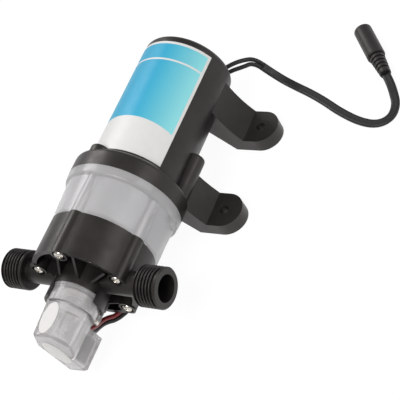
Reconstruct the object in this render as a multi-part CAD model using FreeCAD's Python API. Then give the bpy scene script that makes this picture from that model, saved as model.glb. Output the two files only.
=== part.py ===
import FreeCAD, Part
import math
import os

# Diaphragm water pump, millimetres. +Z is up, the feet stand on z = 0 and the pump
# axis runs along Y with the pump head toward -Y. The origin is the centre of the
# four foot holes on the base plane.
V = FreeCAD.Vector

# Pump axis and the stations along it
COVER_R = 25.0
COVER_BOTTOM = 11.5
AXIS_Z = COVER_BOTTOM + COVER_R
REAR_Y = 45.5
JOINT_Y = -44.8
FIT_GAP = 0.1
RUN_GAP = 0.05
WIRE_GAP = 0.2

# Brushed motor
COVER_WALL = 2.4
CAN_GAP = 0.6
CAN_R = COVER_R - COVER_WALL - CAN_GAP
CAN_WALL = 1.5
CAN_LENGTH = 62.0
CAN_BOSS_R = 8.75
CAN_BOSS = 4.5
CAN_REAR_Y = JOINT_Y + CAN_LENGTH
BUSH_R = 5.6
MAGNET_THICK = 4.9
MAGNET_R = CAN_R - CAN_WALL - MAGNET_THICK
MAGNET_Y = (JOINT_Y + 5.8, CAN_REAR_Y - 6.2)
AIR_GAP = 0.6
CORE_R = MAGNET_R - AIR_GAP
CORE_Y = (JOINT_Y + 10.8, CAN_REAR_Y - 11.2)
CORE_SLOTS = 8
SLOT_DEPTH = CORE_R / 2
SLOT_WIDTH = 3.4
COMMUTATOR_R = 5.5
COMMUTATOR_Y = (CORE_Y[1] + 3.0, CAN_REAR_Y - 0.2)
BRUSH_LENGTH = 6.95
END_CAP_THICK = 5.5
MOTOR_SCREW_PITCH_R = 14.5
MOTOR_SCREW_ANGLES = (0.0, 180.0)
MOTOR_SCREW_R = 1.5
MOTOR_SCREW_HEAD_R = 2.6
MOTOR_SCREW_HEAD = 1.8
TERMINAL_X = 14.0
TAB_LENGTH = 4.5

# Wobble drive
TILT = 5.0
HUB_COLLAR_R = 7.0
HUB_COLLAR_Y = (JOINT_Y - CAN_BOSS - 7.1, JOINT_Y - CAN_BOSS - 0.6)
BEARING_R = 9.5
BEARING_WIDTH = 6.0
WOBBLE_Y = HUB_COLLAR_Y[0] - BEARING_WIDTH / 2 - 0.8
SHAFT_R = 2.5
SHAFT_Y = (WOBBLE_Y - 2.2, CAN_REAR_Y + 7.4)
SEAT_R = 4.0
RING_WALL = 1.6
BALL_R = 1.5
BALL_PITCH_R = 6.75
BALL_GROOVE_R = BALL_R + 0.06
BALL_COUNT = 8
PLATE_R = 12.0
POST_R = 4.1
POST_END_Y = WOBBLE_Y - 11.4

# Pump head, its screws and the ports
HEAD_Y = POST_END_Y + 0.2
HEAD_LENGTH = 23.2
HEAD_FRONT_Y = HEAD_Y - HEAD_LENGTH
PORT_Y = HEAD_FRONT_Y + 2.9
HUB_FRONT_Y = PORT_Y - 10.1
BAND_R = COVER_R + 6.2
CLEAR_REAR_R = BAND_R - 1.8
CLEAR_FRONT_R = CLEAR_REAR_R - 1.2
HEAD_R = CLEAR_FRONT_R
HEAD_WALL = 2.5
SCREW_COUNT = 5
SCREW_ANGLES = [90.0 + 360.0 / SCREW_COUNT * k for k in range(SCREW_COUNT)]
SCREW_PITCH_R = HEAD_R - 2.9
SCREW_BOSS_R = 4.6
SCREW_R = 1.5
SCREW_HEAD_R = 2.75
SCREW_HEAD = 2.0
SCREW_SEAT_Y = HEAD_FRONT_Y + 0.8
SCREW_WELL_R = 3.5
SCREW_LENGTH = HEAD_LENGTH + 14.0
RECESS_FLOOR_Y = HEAD_FRONT_Y + 5.5
HUB_R = 13.6
RIB_THICK = 1.4
# Ribs in the recess: radius and angle of the outer end, angle of the inner end
GUSSETS = ((20.5, 103.0, 118.0), (25.6, 73.0, 62.0), (22.0, 31.0, 40.0), (20.5, 159.0, 137.0),
           (21.5, -54.0, -54.0), (21.5, 234.0, 234.0))
PORT_R = 10.35
PORT_END_X = 47.9
PORT_LENGTH = 12.9
PORT_BORE_R = 6.84
PORT_BORE_DEPTH = 12.4
PORT_CHAMFER = 0.7
NECK_R = 6.3
NECK_BORE_R = 4.0
# Inner radius, outer radius and floor of the inlet's ring chamber; radius and floor of the outlet's
INLET_CHAMBER = (11.8, 19.2, HEAD_Y - 15.2)
OUTLET_CHAMBER = (10.0, HEAD_Y - 16.8)

# Diaphragm, valve plate and valves
CHAMBERS = 3
CHAMBER_ANGLES = [90.0 + 360.0 / CHAMBERS * k for k in range(CHAMBERS)]
CHAMBER_PITCH_R = 13.0
CHAMBER_R = 6.6
CHAMBER_DEPTH = 4.6
DIAPHRAGM_R = HEAD_R - 6.2
DIAPHRAGM_THICK = 1.6
VALVE_PLATE_R = DIAPHRAGM_R + 0.2
VALVE_PLATE_THICK = 7.4
GASKET_THICK = 0.8
PAD_R = 4.8
PAD_THICK = 1.2
PISTON_R = 4.1
INLET_VALVE_R = 2.6
INLET_VALVE_PITCH_R = 15.6
OUTLET_VALVE_R = 9.6
VALVE_THICK = 0.6
STEM_R = 0.85
PLATE_REAR_Y = HEAD_Y - DIAPHRAGM_THICK
PLATE_FRONT_Y = PLATE_REAR_Y - VALVE_PLATE_THICK
CHAMBER_FLOOR_Y = PLATE_REAR_Y - CHAMBER_DEPTH
GASKET_FRONT_Y = PLATE_FRONT_Y - GASKET_THICK

# Motor cover and feet
CAVITY_R = COVER_R - COVER_WALL
REAR_WALL = 2.5
REAR_ROUND = 3.0
CAVITY_REAR_Y = REAR_Y - REAR_WALL
BAND_LENGTH = 9.3
SHOULDER_LENGTH = 4.0
SPIGOT_R = BAND_R - 2.6
SPIGOT_WALL = 1.8
SPIGOT_LENGTH = 4.0
TOWER_PITCH_R = COVER_R + 0.8
TOWER_R = 5.2
TOWERS = {-20.0: JOINT_Y + 35.3, 200.0: JOINT_Y + 35.3, 105.0: JOINT_Y + 13.8}
TOWER_DEPTH = 5.4
COVER_SCREW_R = 1.5
COVER_SCREW_HEAD_R = 2.8
COVER_SCREW_HEAD = 2.0
FOOT_HOLE_X = 39.5
FOOT_HOLE_Y = 27.2
FOOT_HOLE_R = 2.4
FOOT_R = 10.2
FOOT_THICK = 8.0
LEG_CREST_X = COVER_R + 7.6
LEG_INNER_X = COVER_R + 0.4
WIRE_SLOT_X = (0.6, 7.4)
WIRE_SLOT_Y = (REAR_Y - 24.1, REAR_Y - 12.0)
LEAD_HOLE_R = 1.65
LEAD_HOLE_X = 12.0
LEAD_HOLE_Z = (AXIS_Z - 10.5, AXIS_Z - 14.0)
CLIP_Y = (-9.0, 17.0)
CLIP_WALL = 1.4
CLIP_LENGTH = 4.0
LABEL_ANGLES = (28.0, 152.0)
LABEL_Y = (JOINT_Y + 14.0, REAR_Y - 5.1)
LABEL_THICK = 0.12
LABEL_LIFT = 0.08

# Clear housing of the eccentric drive
CLEAR_RIM_LENGTH = 4.2
CLEAR_WALL = 2.6
CLEAR_BULKHEAD = 3.0
CLEAR_LIP_R = DIAPHRAGM_R - 1.5
CLEAR_LIP = 2.5
LUMP_R = 5.0
LUMP_Y = JOINT_Y - 8.7

# Pressure switch; its body is turned about the pump axis
SWITCH_TURN = 9.0
NECK_OUTER_R = 12.8
NECK_FLANGE_R = 13.6
NECK_FLANGE = 1.4
NECK_FRONT_Y = HUB_FRONT_Y - 9.6
CAP_REAR_Y = NECK_FRONT_Y - 0.6
CAP_BEVEL_Y = CAP_REAR_Y - 17.6
CAP_FRONT_Y = CAP_BEVEL_Y - 1.2
CAP_REAR_R = 12.5
CAP_FRONT_R = 11.6
CAP_END_R = 10.7
CAP_BORE_R = 8.8
CAP_WALL = 1.4
CAP_END_WALL = 2.0
BOX_X = (-9.8, 1.9)
BOX_BOTTOM = -24.35
SWITCH_SPIGOT_R = 9.8
SWITCH_SPIGOT_Y = CAP_REAR_Y - 3.0
SWITCH_BORE_R = 8.4
SEAL_R = 11.0
SEAL_THICK = 1.2
PLUNGER_DISC_R = 8.0
PLUNGER_DISC = 2.0
PLUNGER_STEM_R = 2.2
BUTTON_RATIO = 1.0 / 3.0
BUTTON_Y = CAP_REAR_Y - 6.5
BUTTON_R = 1.0
SPRING_R = 4.6
SPRING_WIRE_R = 0.4
SPRING_TURNS = 9
MICRO_BODY = (12.8, 7.0, 6.4)
MICRO_REAR_Y = CAP_REAR_Y - 2.4
BUTTON_TOP = -14.75
LUG_ANGLE = -65.0
LUG_PITCH_R = 13.6
LUG_WIDTH = 6.8
LUG_THICK = 6.5
LUG_SCREW_R = 1.3
LUG_SCREW_HEAD_R = 2.8
LUG_SCREW_HEAD = 1.8
# Wire hooks on the hub's front: first angle, last angle and reach
HOOKS = ((122.0, 172.0, 8.2), (-46.0, 14.0, 4.2))
HOOK_R = 14.5
HOOK_WALL = 1.2
STICKER_LENGTH = 19.6
STICKER_WIDTH = 11.4
STICKER_THICK = 0.15

# Wires, the free lead and its in-line socket
WIRE_R = 1.2
INNER_WIRE_R = 1.0
SPLICE_LENGTH = 5.0
TWIN_WIDTH = 4.8
UNDER_HEAD = AXIS_Z - HEAD_R
UNDER_BAND = AXIS_Z - BAND_R
LEAD_Y = REAR_Y + 17.5
RED_ROUTE = [(2.5, CAP_REAR_Y - 1.0, AXIS_Z - 15.0), (2.55, CAP_REAR_Y + 2.3, AXIS_Z - 15.35),
             (4.0, HUB_FRONT_Y - 4.4, AXIS_Z - 17.8), (6.2, HUB_FRONT_Y - 0.4, AXIS_Z - 19.7),
             (7.8, HEAD_FRONT_Y - 4.6, UNDER_HEAD + 3.1), (7.4, HEAD_FRONT_Y - 0.8, UNDER_HEAD - 3.1),
             (5.9, HEAD_Y - 6.1, UNDER_HEAD - 3.9), (3.6, HEAD_Y + 4.9, UNDER_BAND - 1.4),
             (2.6, JOINT_Y - 6.7, UNDER_BAND - 2.6), (2.6, JOINT_Y + 7.3, UNDER_BAND - 2.4),
             (2.6, JOINT_Y + 19.3, COVER_BOTTOM - 3.2), (2.6, -8.5, COVER_BOTTOM - 1.7),
             (2.6, 8.0, COVER_BOTTOM - 1.9), (2.6, REAR_Y - 24.0, COVER_BOTTOM - 1.6),
             (2.6, REAR_Y - 18.0, COVER_BOTTOM + 0.5), (2.0, REAR_Y - 13.9, COVER_BOTTOM + 5.2)]
BLACK_ROUTE = [(3.0, CAP_REAR_Y - 1.0, AXIS_Z - 17.9), (3.1, CAP_REAR_Y + 2.2, AXIS_Z - 18.0),
               (5.2, HUB_FRONT_Y - 6.0, AXIS_Z - 19.9), (8.5, HUB_FRONT_Y - 1.9, AXIS_Z - 20.3),
               (10.6, HEAD_FRONT_Y - 4.8, UNDER_HEAD + 3.2), (10.2, HEAD_FRONT_Y - 0.6, UNDER_HEAD - 3.4),
               (8.6, HEAD_Y - 5.6, UNDER_HEAD - 4.4), (6.2, HEAD_Y + 5.4, UNDER_BAND - 2.0),
               (5.2, JOINT_Y - 6.2, UNDER_BAND - 2.5), (5.2, JOINT_Y + 7.8, UNDER_BAND - 2.2),
               (5.2, JOINT_Y + 19.8, COVER_BOTTOM - 3.0), (5.2, -8.0, COVER_BOTTOM - 1.4),
               (5.2, 8.5, COVER_BOTTOM - 1.6), (5.2, REAR_Y - 24.0, COVER_BOTTOM - 1.3),
               (5.2, REAR_Y - 18.0, COVER_BOTTOM + 0.8), (6.0, REAR_Y - 13.9, COVER_BOTTOM + 5.5)]
LEAD_A_ROUTE = [(LEAD_HOLE_X, REAR_Y - 2.3, LEAD_HOLE_Z[0]), (12.6, REAR_Y + 2.9, 26.5),
                (17.5, REAR_Y + 8.0, 26.9), (22.6, REAR_Y + 13.3, 25.0),
                (26.2, LEAD_Y + 1.5, 19.9), (29.5, LEAD_Y + 1.25, 15.6)]
LEAD_B_ROUTE = [(LEAD_HOLE_X, REAR_Y - 3.9, LEAD_HOLE_Z[1]), (12.7, REAR_Y + 2.7, 23.1),
                (17.2, REAR_Y + 7.1, 23.3), (22.4, REAR_Y + 11.9, 21.2),
                (26.0, LEAD_Y - 1.2, 19.5), (29.35, LEAD_Y - 1.25, 15.6)]
TWIN_ROUTE = [(29.5, LEAD_Y, 15.5), (36.5, LEAD_Y - 0.5, 6.5), (46.5, LEAD_Y - 2.8, 1.7),
              (56.0, LEAD_Y - 6.6, 1.3), (67.0, LEAD_Y - 12.1, 1.3), (78.3, LEAD_Y - 18.7, 1.3),
              (92.0, LEAD_Y - 24.8, 1.3), (102.7, LEAD_Y - 26.3, 1.3), (109.0, LEAD_Y - 21.4, 1.3),
              (109.0, LEAD_Y - 12.9, 1.4), (105.8, LEAD_Y - 6.3, 2.7), (102.6, LEAD_Y - 0.7, 5.0),
              (98.6, LEAD_Y + 4.4, 5.0)]
JACK_AXIS_END = (75.0, LEAD_Y + 34.8, 5.0)
JACK_R = 5.0
JACK_BODY_LENGTH = 23.0
JACK_SOCKET_R = 3.1
JACK_SOCKET_DEPTH = 10.0
JACK_PIN_R = 1.0
JACK_SLEEVE_WALL = 0.35
RELIEF_ROOT_R = 4.1
RELIEF_END_R = 3.0
RELIEF_RIBS = 5


def polar(r, degrees, y):
    """Point at radius r and angle from +X toward +Z about the pump axis."""
    t = math.radians(degrees)
    return V(r * math.cos(t), y, AXIS_Z + r * math.sin(t))


def rod(r, y0, y1, at=None):
    """Solid cylinder along Y between two stations; at gives its centre line."""
    low, high = min(y0, y1), max(y0, y1)
    x, z = (at.x, at.z) if at is not None else (0.0, AXIS_Z)
    return Part.makeCylinder(r, high - low, V(x, low, z), V(0, 1, 0))


def ring(r_out, r_in, y0, y1, at=None):
    return rod(r_out, y0, y1, at).cut(rod(r_in, min(y0, y1) - 1, max(y0, y1) + 1, at))


def block(x, y, z):
    """Box from three (low, high) pairs."""
    return Part.makeBox(x[1] - x[0], y[1] - y[0], z[1] - z[0], V(x[0], y[0], z[0]))


def turned(points):
    """Solid of revolution about the pump axis from (radius, y) corners."""
    corners = [V(r, y, AXIS_Z) for r, y in points]
    face = Part.Face(Part.makePolygon(corners + [corners[0]]))
    return face.revolve(V(0, 0, AXIS_Z), V(0, 1, 0), 360)


def swing(shape, degrees):
    """Turn a copy about the pump axis, +X toward +Z."""
    out = shape.copy()
    out.rotate(V(0, 0, AXIS_Z), V(0, -1, 0), degrees)
    return out


def tilted(shape):
    """Turn a copy by the drive's tilt about the wobble centre."""
    out = shape.copy()
    out.rotate(V(0, WOBBLE_Y, AXIS_Z), V(1, 0, 0), TILT)
    return out


def fuse(shapes):
    out = shapes[0]
    if len(shapes) > 1:
        out = out.multiFuse(shapes[1:])
    return out.removeSplitter()


def cut(shape, tools):
    return shape.cut(Part.makeCompound(tools)) if tools else shape


def rounded(shape, radius, picks):
    """Fillet the edges that the test picks."""
    edges = [e for e in shape.Edges if picks(e)]
    return shape.makeFillet(radius, edges)


def circle_at(y, radius):
    """Test for a full circle about the pump axis at one station."""
    def test(edge):
        box = edge.BoundBox
        round_edge = hasattr(edge.Curve, "Radius") and abs(edge.Curve.Radius - radius) < 0.01
        return round_edge and abs(box.YMin - y) < 0.01 and abs(box.YMax - y) < 0.01
    return test


def save(name, shape):
    solids = shape.Solids
    if len(solids) == 1:
        shape = solids[0]
    else:
        shape = Part.makeCompound(solids)
    shape.exportStep("parts/%s.step" % name)
    print("%-22s solids %2d  valid %s  volume %10.2f" % (name, len(solids), shape.isValid(), shape.Volume))


def corner_arcs(points):
    """Start, end, radius, centre, axis and turn of the tangent arc at each corner."""
    nodes = [V(*p) for p in points]
    arcs = []
    for before, corner, after in zip(nodes, nodes[1:], nodes[2:]):
        run_in, run_out = corner.sub(before), after.sub(corner)
        d_in, d_out = V(run_in).normalize(), V(run_out).normalize()
        turn = d_in.getAngle(d_out)
        back = 0.45 * min(run_in.Length, run_out.Length)
        radius = back / math.tan(turn / 2)
        toward = (d_out - d_in).normalize()
        centre = corner + toward * (radius / math.cos(turn / 2))
        arcs.append((corner - d_in * back, corner + d_out * back, radius, centre,
                     d_in.cross(d_out).normalize(), math.degrees(turn), centre - toward * radius))
    return arcs


def route_wire(points):
    """Straight runs joined by the largest tangent arcs that the runs allow."""
    edges = []
    start = V(*points[0])
    arcs = corner_arcs(points)
    for p0, p1, _, _, _, _, middle in arcs:
        edges.append(Part.LineSegment(start, p0).toShape())
        edges.append(Part.Arc(p0, middle, p1).toShape())
        start = p1
    edges.append(Part.LineSegment(start, V(*points[-1])).toShape())
    return Part.Wire(edges), [arc[2] for arc in arcs]


def carried_back(points, corner):
    """Level sideways direction at one run, carried back to the route's start."""
    runs = [V(*b).sub(V(*a)).normalize() for a, b in zip(points, points[1:])]
    side = V(0, 0, 1).cross(runs[corner]).normalize()
    for k in range(corner, 0, -1):
        side = FreeCAD.Rotation(runs[k], runs[k - 1]).multVec(side)
    return side


def flat_outline(centre, direction, side):
    """Twin-cable section: two half circles and two flats."""
    up = direction.cross(side).normalize()
    half = TWIN_WIDTH / 2 - WIRE_R
    a, b = centre + side * half, centre - side * half
    edges = [Part.LineSegment(a + up * WIRE_R, b + up * WIRE_R).toShape(),
             Part.Arc(b + up * WIRE_R, b - side * WIRE_R, b - up * WIRE_R).toShape(),
             Part.LineSegment(b - up * WIRE_R, a - up * WIRE_R).toShape(),
             Part.Arc(a - up * WIRE_R, a + side * WIRE_R, a + up * WIRE_R).toShape()]
    return Part.Face(Part.Wire(edges))


def flat_cable(name, points, level_run):
    """Flat twin cable along a route, lying level at one of its runs."""
    path, radii = route_wire(points)
    start, side = V(*points[0]), carried_back(points, level_run)
    solids = []
    for p0, p1, _, centre, axis, turn, _ in corner_arcs(points):
        direction = (p0 - start).normalize()
        solids.append(flat_outline(start, direction, side).extrude(p0 - start))
        solids.append(flat_outline(p0, direction, side).revolve(centre, axis, turn))
        side = FreeCAD.Rotation(axis, turn).multVec(side)
        start = p1
    end = V(*points[-1])
    solids.append(flat_outline(start, (end - start).normalize(), side).extrude(end - start))
    cable = fuse(solids)
    area = math.pi * WIRE_R ** 2 + 4 * WIRE_R * (TWIN_WIDTH / 2 - WIRE_R)
    print("%s length %.1f  least radius %.1f  radii %s  volume ratio %.4f"
          % (name, path.Length, min(radii), [round(r, 1) for r in radii],
             cable.Volume / (area * path.Length)))
    return cable


def round_wire(name, points, radius=WIRE_R):
    """Round tube along a route."""
    path, radii = route_wire(points)
    start, direction = V(*points[0]), V(*points[1]).sub(V(*points[0]))
    profile = Part.Wire(Part.makeCircle(radius, start, direction))
    tube = path.makePipeShell([profile], True, False, 2)
    print("%s length %.1f  least radius %.1f  radii %s  volume ratio %.4f"
          % (name, path.Length, min(radii), [round(r, 1) for r in radii],
             tube.Volume / (math.pi * radius ** 2 * path.Length)))
    return tube


def pan_screw(r, length, head_r, head_height, seat_y, at, toward):
    """Pan-head screw; toward is +1 when the head lies on the +Y side of its seat."""
    head = rod(head_r, seat_y, seat_y + toward * head_height, at)
    top = seat_y + toward * head_height
    head = rounded(head, 0.45 * head_height,
                   lambda e: abs(e.BoundBox.YMin - top) < 0.01 and abs(e.BoundBox.YMax - top) < 0.01)
    return fuse([head, rod(r, seat_y, seat_y - toward * length, at)])


def leg():
    """One leg and foot on the +X, +Y side."""
    y0, y1 = FOOT_HOLE_Y - FOOT_R, FOOT_HOLE_Y + FOOT_R
    top = V(COVER_R - 0.6, y0, AXIS_Z - 2.5)
    middle = V(COVER_R + 2.2, y0, COVER_BOTTOM + 8.5)
    crest = V(LEG_CREST_X, y0, FOOT_THICK)
    inner_foot = V(LEG_INNER_X, y0, 0)
    inner_top = V(COVER_R - 11.2, y0, COVER_BOTTOM + 3.3)
    heart = V(COVER_R - 11.2, y0, AXIS_Z - 2.5)
    outline = Part.Wire([Part.Arc(top, middle, crest).toShape(),
                         Part.LineSegment(crest, V(LEG_CREST_X, y0, 0)).toShape(),
                         Part.LineSegment(V(LEG_CREST_X, y0, 0), inner_foot).toShape(),
                         Part.LineSegment(inner_foot, inner_top).toShape(),
                         Part.LineSegment(inner_top, heart).toShape(),
                         Part.LineSegment(heart, top).toShape()])
    pillar = Part.Face(outline).extrude(V(0, y1 - y0, 0))
    pad = block((LEG_CREST_X - 1.0, FOOT_HOLE_X), (y0, y1), (0, FOOT_THICK))
    tip = Part.makeCylinder(FOOT_R, FOOT_THICK, V(FOOT_HOLE_X, FOOT_HOLE_Y, 0))
    return fuse([pillar, pad, tip])


def legs():
    one = leg()
    across = one.mirror(V(0, 0, 0), V(1, 0, 0))
    pair = [one, across]
    return pair + [s.mirror(V(0, 0, 0), V(0, 1, 0)) for s in pair]


def foot_holes():
    holes = []
    for x in (-FOOT_HOLE_X, FOOT_HOLE_X):
        for y in (-FOOT_HOLE_Y, FOOT_HOLE_Y):
            holes.append(Part.makeCylinder(FOOT_HOLE_R, FOOT_THICK + 2, V(x, y, -1)))
    return holes


def wire_clips():
    """Two open clips under the cover that carry the switch wires."""
    top = COVER_BOTTOM + 1.0
    clips = []
    for y in CLIP_Y:
        span = (y, y + CLIP_LENGTH)
        for side, x in ((-1, 1.1), (1, 6.7)):
            wall = sorted((x, x + side * CLIP_WALL))
            clips.append(block(wall, span, (top - 4.4, top + 0.4)))
            toe = sorted((x + side * CLIP_WALL, x - side * 0.9))
            clips.append(block(toe, span, (top - 5.2, top - 4.4)))
    return clips


def cover_towers():
    towers = []
    for angle, end_y in TOWERS.items():
        centre = polar(TOWER_PITCH_R, angle, 0)
        tower = rod(TOWER_R, JOINT_Y, end_y, centre)
        towers.append(rounded(tower, 1.6, lambda e: e.BoundBox.YMin > end_y - 0.01))
    return towers


def motor_cover():
    shell = rounded(rod(COVER_R, JOINT_Y, REAR_Y), REAR_ROUND, circle_at(REAR_Y, COVER_R))
    band_y = JOINT_Y + BAND_LENGTH
    band = turned([(CAVITY_R, JOINT_Y), (BAND_R, JOINT_Y), (BAND_R, band_y),
                   (COVER_R, band_y + SHOULDER_LENGTH), (CAVITY_R, band_y + SHOULDER_LENGTH)])
    band = rounded(band, 2.2, circle_at(band_y, BAND_R))
    body = fuse([shell, band] + cover_towers() + legs() + wire_clips())
    tools = [rod(CAVITY_R, JOINT_Y - 1, CAVITY_REAR_Y),
             rod(SPIGOT_R + FIT_GAP, JOINT_Y - 1, JOINT_Y + SPIGOT_LENGTH + 0.3),
             block(WIRE_SLOT_X, WIRE_SLOT_Y, (COVER_BOTTOM - 1, AXIS_Z - CAVITY_R + 2))]
    for z in LEAD_HOLE_Z:
        tools.append(rod(LEAD_HOLE_R, CAVITY_REAR_Y - 1, REAR_Y + 1, V(LEAD_HOLE_X, 0, z)))
    for angle, end_y in TOWERS.items():
        centre = polar(TOWER_PITCH_R, angle, 0)
        tools.append(rod(COVER_SCREW_R + 0.2, JOINT_Y - 1, end_y + 1, centre))
        tools.append(rod(COVER_SCREW_HEAD_R + 0.2, end_y - TOWER_DEPTH + COVER_SCREW_HEAD, end_y + 1, centre))
    return cut(body, tools + foot_holes())


def cover_screws():
    screws = []
    for angle, end_y in TOWERS.items():
        seat = end_y - TOWER_DEPTH + COVER_SCREW_HEAD
        reach = seat - (JOINT_Y - 5.0)
        screws.append(pan_screw(COVER_SCREW_R, reach, COVER_SCREW_HEAD_R, COVER_SCREW_HEAD, seat,
                                polar(TOWER_PITCH_R, angle, 0), 1))
    return Part.makeCompound(screws)


def arc_sector(r_in, r_out, angle0, angle1, y0, y1):
    """Ring sector about the pump axis."""
    sector = Part.makeCylinder(r_out, y1 - y0, V(0, y0, AXIS_Z), V(0, 1, 0), angle1 - angle0)
    inner = Part.makeCylinder(r_in, y1 - y0, V(0, y0, AXIS_Z), V(0, 1, 0), 360)
    sector = sector.cut(inner)
    centre = sector.Solids[0].CenterOfMass
    now = math.degrees(math.atan2(centre.z - AXIS_Z, centre.x))
    return swing(sector, (angle0 + angle1) / 2 - now)


def motor_label():
    inner = COVER_R + LABEL_LIFT
    return arc_sector(inner, inner + LABEL_THICK, LABEL_ANGLES[0], LABEL_ANGLES[1], *LABEL_Y)


def eccentric_housing():
    rim_y = JOINT_Y - CLEAR_RIM_LENGTH
    outer = turned([(0, JOINT_Y), (BAND_R, JOINT_Y), (BAND_R - 0.4, rim_y), (CLEAR_REAR_R, rim_y - 1.2),
                    (CLEAR_FRONT_R, HEAD_Y), (0, HEAD_Y)])
    outer = rounded(outer, 0.9, circle_at(rim_y, BAND_R - 0.4))
    solids = [outer, ring(SPIGOT_R, SPIGOT_R - SPIGOT_WALL, JOINT_Y - 0.5, JOINT_Y + SPIGOT_LENGTH)]
    for angle in SCREW_ANGLES:
        solids.append(rod(SCREW_BOSS_R, rim_y + 0.5, HEAD_Y, polar(SCREW_PITCH_R, angle, 0)))
    inner_r = CLEAR_REAR_R - CLEAR_WALL - 1.0
    cavity = rod(inner_r, HEAD_Y + CLEAR_LIP, JOINT_Y - CLEAR_BULKHEAD)
    for angle in SCREW_ANGLES:
        cavity = cavity.cut(rod(SCREW_R + 2.4, HEAD_Y - 1, JOINT_Y, polar(SCREW_PITCH_R, angle, 0)))
    for angle, end_y in TOWERS.items():
        lump_y = LUMP_Y if end_y > JOINT_Y + 20 else rim_y + 0.3
        centre = polar(TOWER_PITCH_R, angle, 0)
        lump = rounded(rod(LUMP_R, JOINT_Y, lump_y, centre), 2.4,
                       lambda e: e.BoundBox.YMax < lump_y + 0.01)
        solids.append(lump)
        cavity = cavity.cut(rod(LUMP_R, JOINT_Y, lump_y, centre))
    tools = [cavity, rod(CLEAR_LIP_R, HEAD_Y - 1, HEAD_Y + CLEAR_LIP + 0.5),
             rod(CAN_BOSS_R + 0.3, JOINT_Y - CLEAR_BULKHEAD - 1, JOINT_Y + 1)]
    screw_end = SCREW_SEAT_Y + SCREW_LENGTH + 0.4
    for angle in SCREW_ANGLES:
        tools.append(rod(SCREW_R, HEAD_Y - 1, screw_end, polar(SCREW_PITCH_R, angle, 0)))
    for angle in TOWERS:
        tools.append(rod(COVER_SCREW_R, JOINT_Y - 5.3, JOINT_Y + 1, polar(TOWER_PITCH_R, angle, 0)))
        tools.append(rod(COVER_SCREW_R + 0.3, JOINT_Y, JOINT_Y + SPIGOT_LENGTH + 1,
                         polar(TOWER_PITCH_R, angle, 0)))
    for angle in MOTOR_SCREW_ANGLES:
        tools.append(rod(MOTOR_SCREW_R + 0.2, JOINT_Y - CLEAR_BULKHEAD - 1, JOINT_Y + 1,
                         polar(MOTOR_SCREW_PITCH_R, angle, 0)))
    return cut(fuse(solids), tools)


def ports():
    """Both threaded tubes on one neck that runs through the hub."""
    start = PORT_END_X - PORT_LENGTH
    tubes = [Part.makeCylinder(NECK_R, 2 * start + 2, V(-start - 1, PORT_Y, AXIS_Z), V(1, 0, 0))]
    for side in (-1, 1):
        tube = Part.makeCylinder(PORT_R, PORT_LENGTH, V(side * start, PORT_Y, AXIS_Z), V(side, 0, 0))
        tubes.append(tube.makeChamfer(PORT_CHAMFER, [e for e in tube.Edges if hasattr(e.Curve, "Radius")]))
    return fuse(tubes)


def port_cuts(side, reach):
    """Bore of one port: wide mouth, short cone and the narrow way inward."""
    depth_x = PORT_END_X - PORT_BORE_DEPTH
    outward = V(side, 0, 0)
    mouth = Part.makeCylinder(PORT_BORE_R, PORT_BORE_DEPTH + 1, V(side * depth_x, PORT_Y, AXIS_Z), outward)
    cone_base = V(side * (depth_x - 2.0), PORT_Y, AXIS_Z)
    cone = Part.makeCone(NECK_BORE_R, PORT_BORE_R, 2.0, cone_base, outward)
    way = Part.makeCylinder(NECK_BORE_R, depth_x - reach, V(side * reach, PORT_Y, AXIS_Z), outward)
    return [mouth, cone, way]


def gusset(outer_r, outer_angle, inner_angle):
    """Sloping rib from a screw boss or the barrel's wall in to the hub."""
    floor_y = RECESS_FLOOR_Y + 0.5
    corners = [polar(outer_r, outer_angle, floor_y), polar(outer_r, outer_angle, HEAD_FRONT_Y + 0.4),
               polar(HUB_R - 1.5, inner_angle, HUB_FRONT_Y + 2.0), polar(HUB_R - 1.5, inner_angle, floor_y)]
    across = (corners[3] - corners[0]).cross(V(0, 1, 0)).normalize() * RIB_THICK
    rib = Part.Face(Part.makePolygon(corners + [corners[0]])).extrude(across)
    rib.translate(across * -0.5)
    return rib


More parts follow.
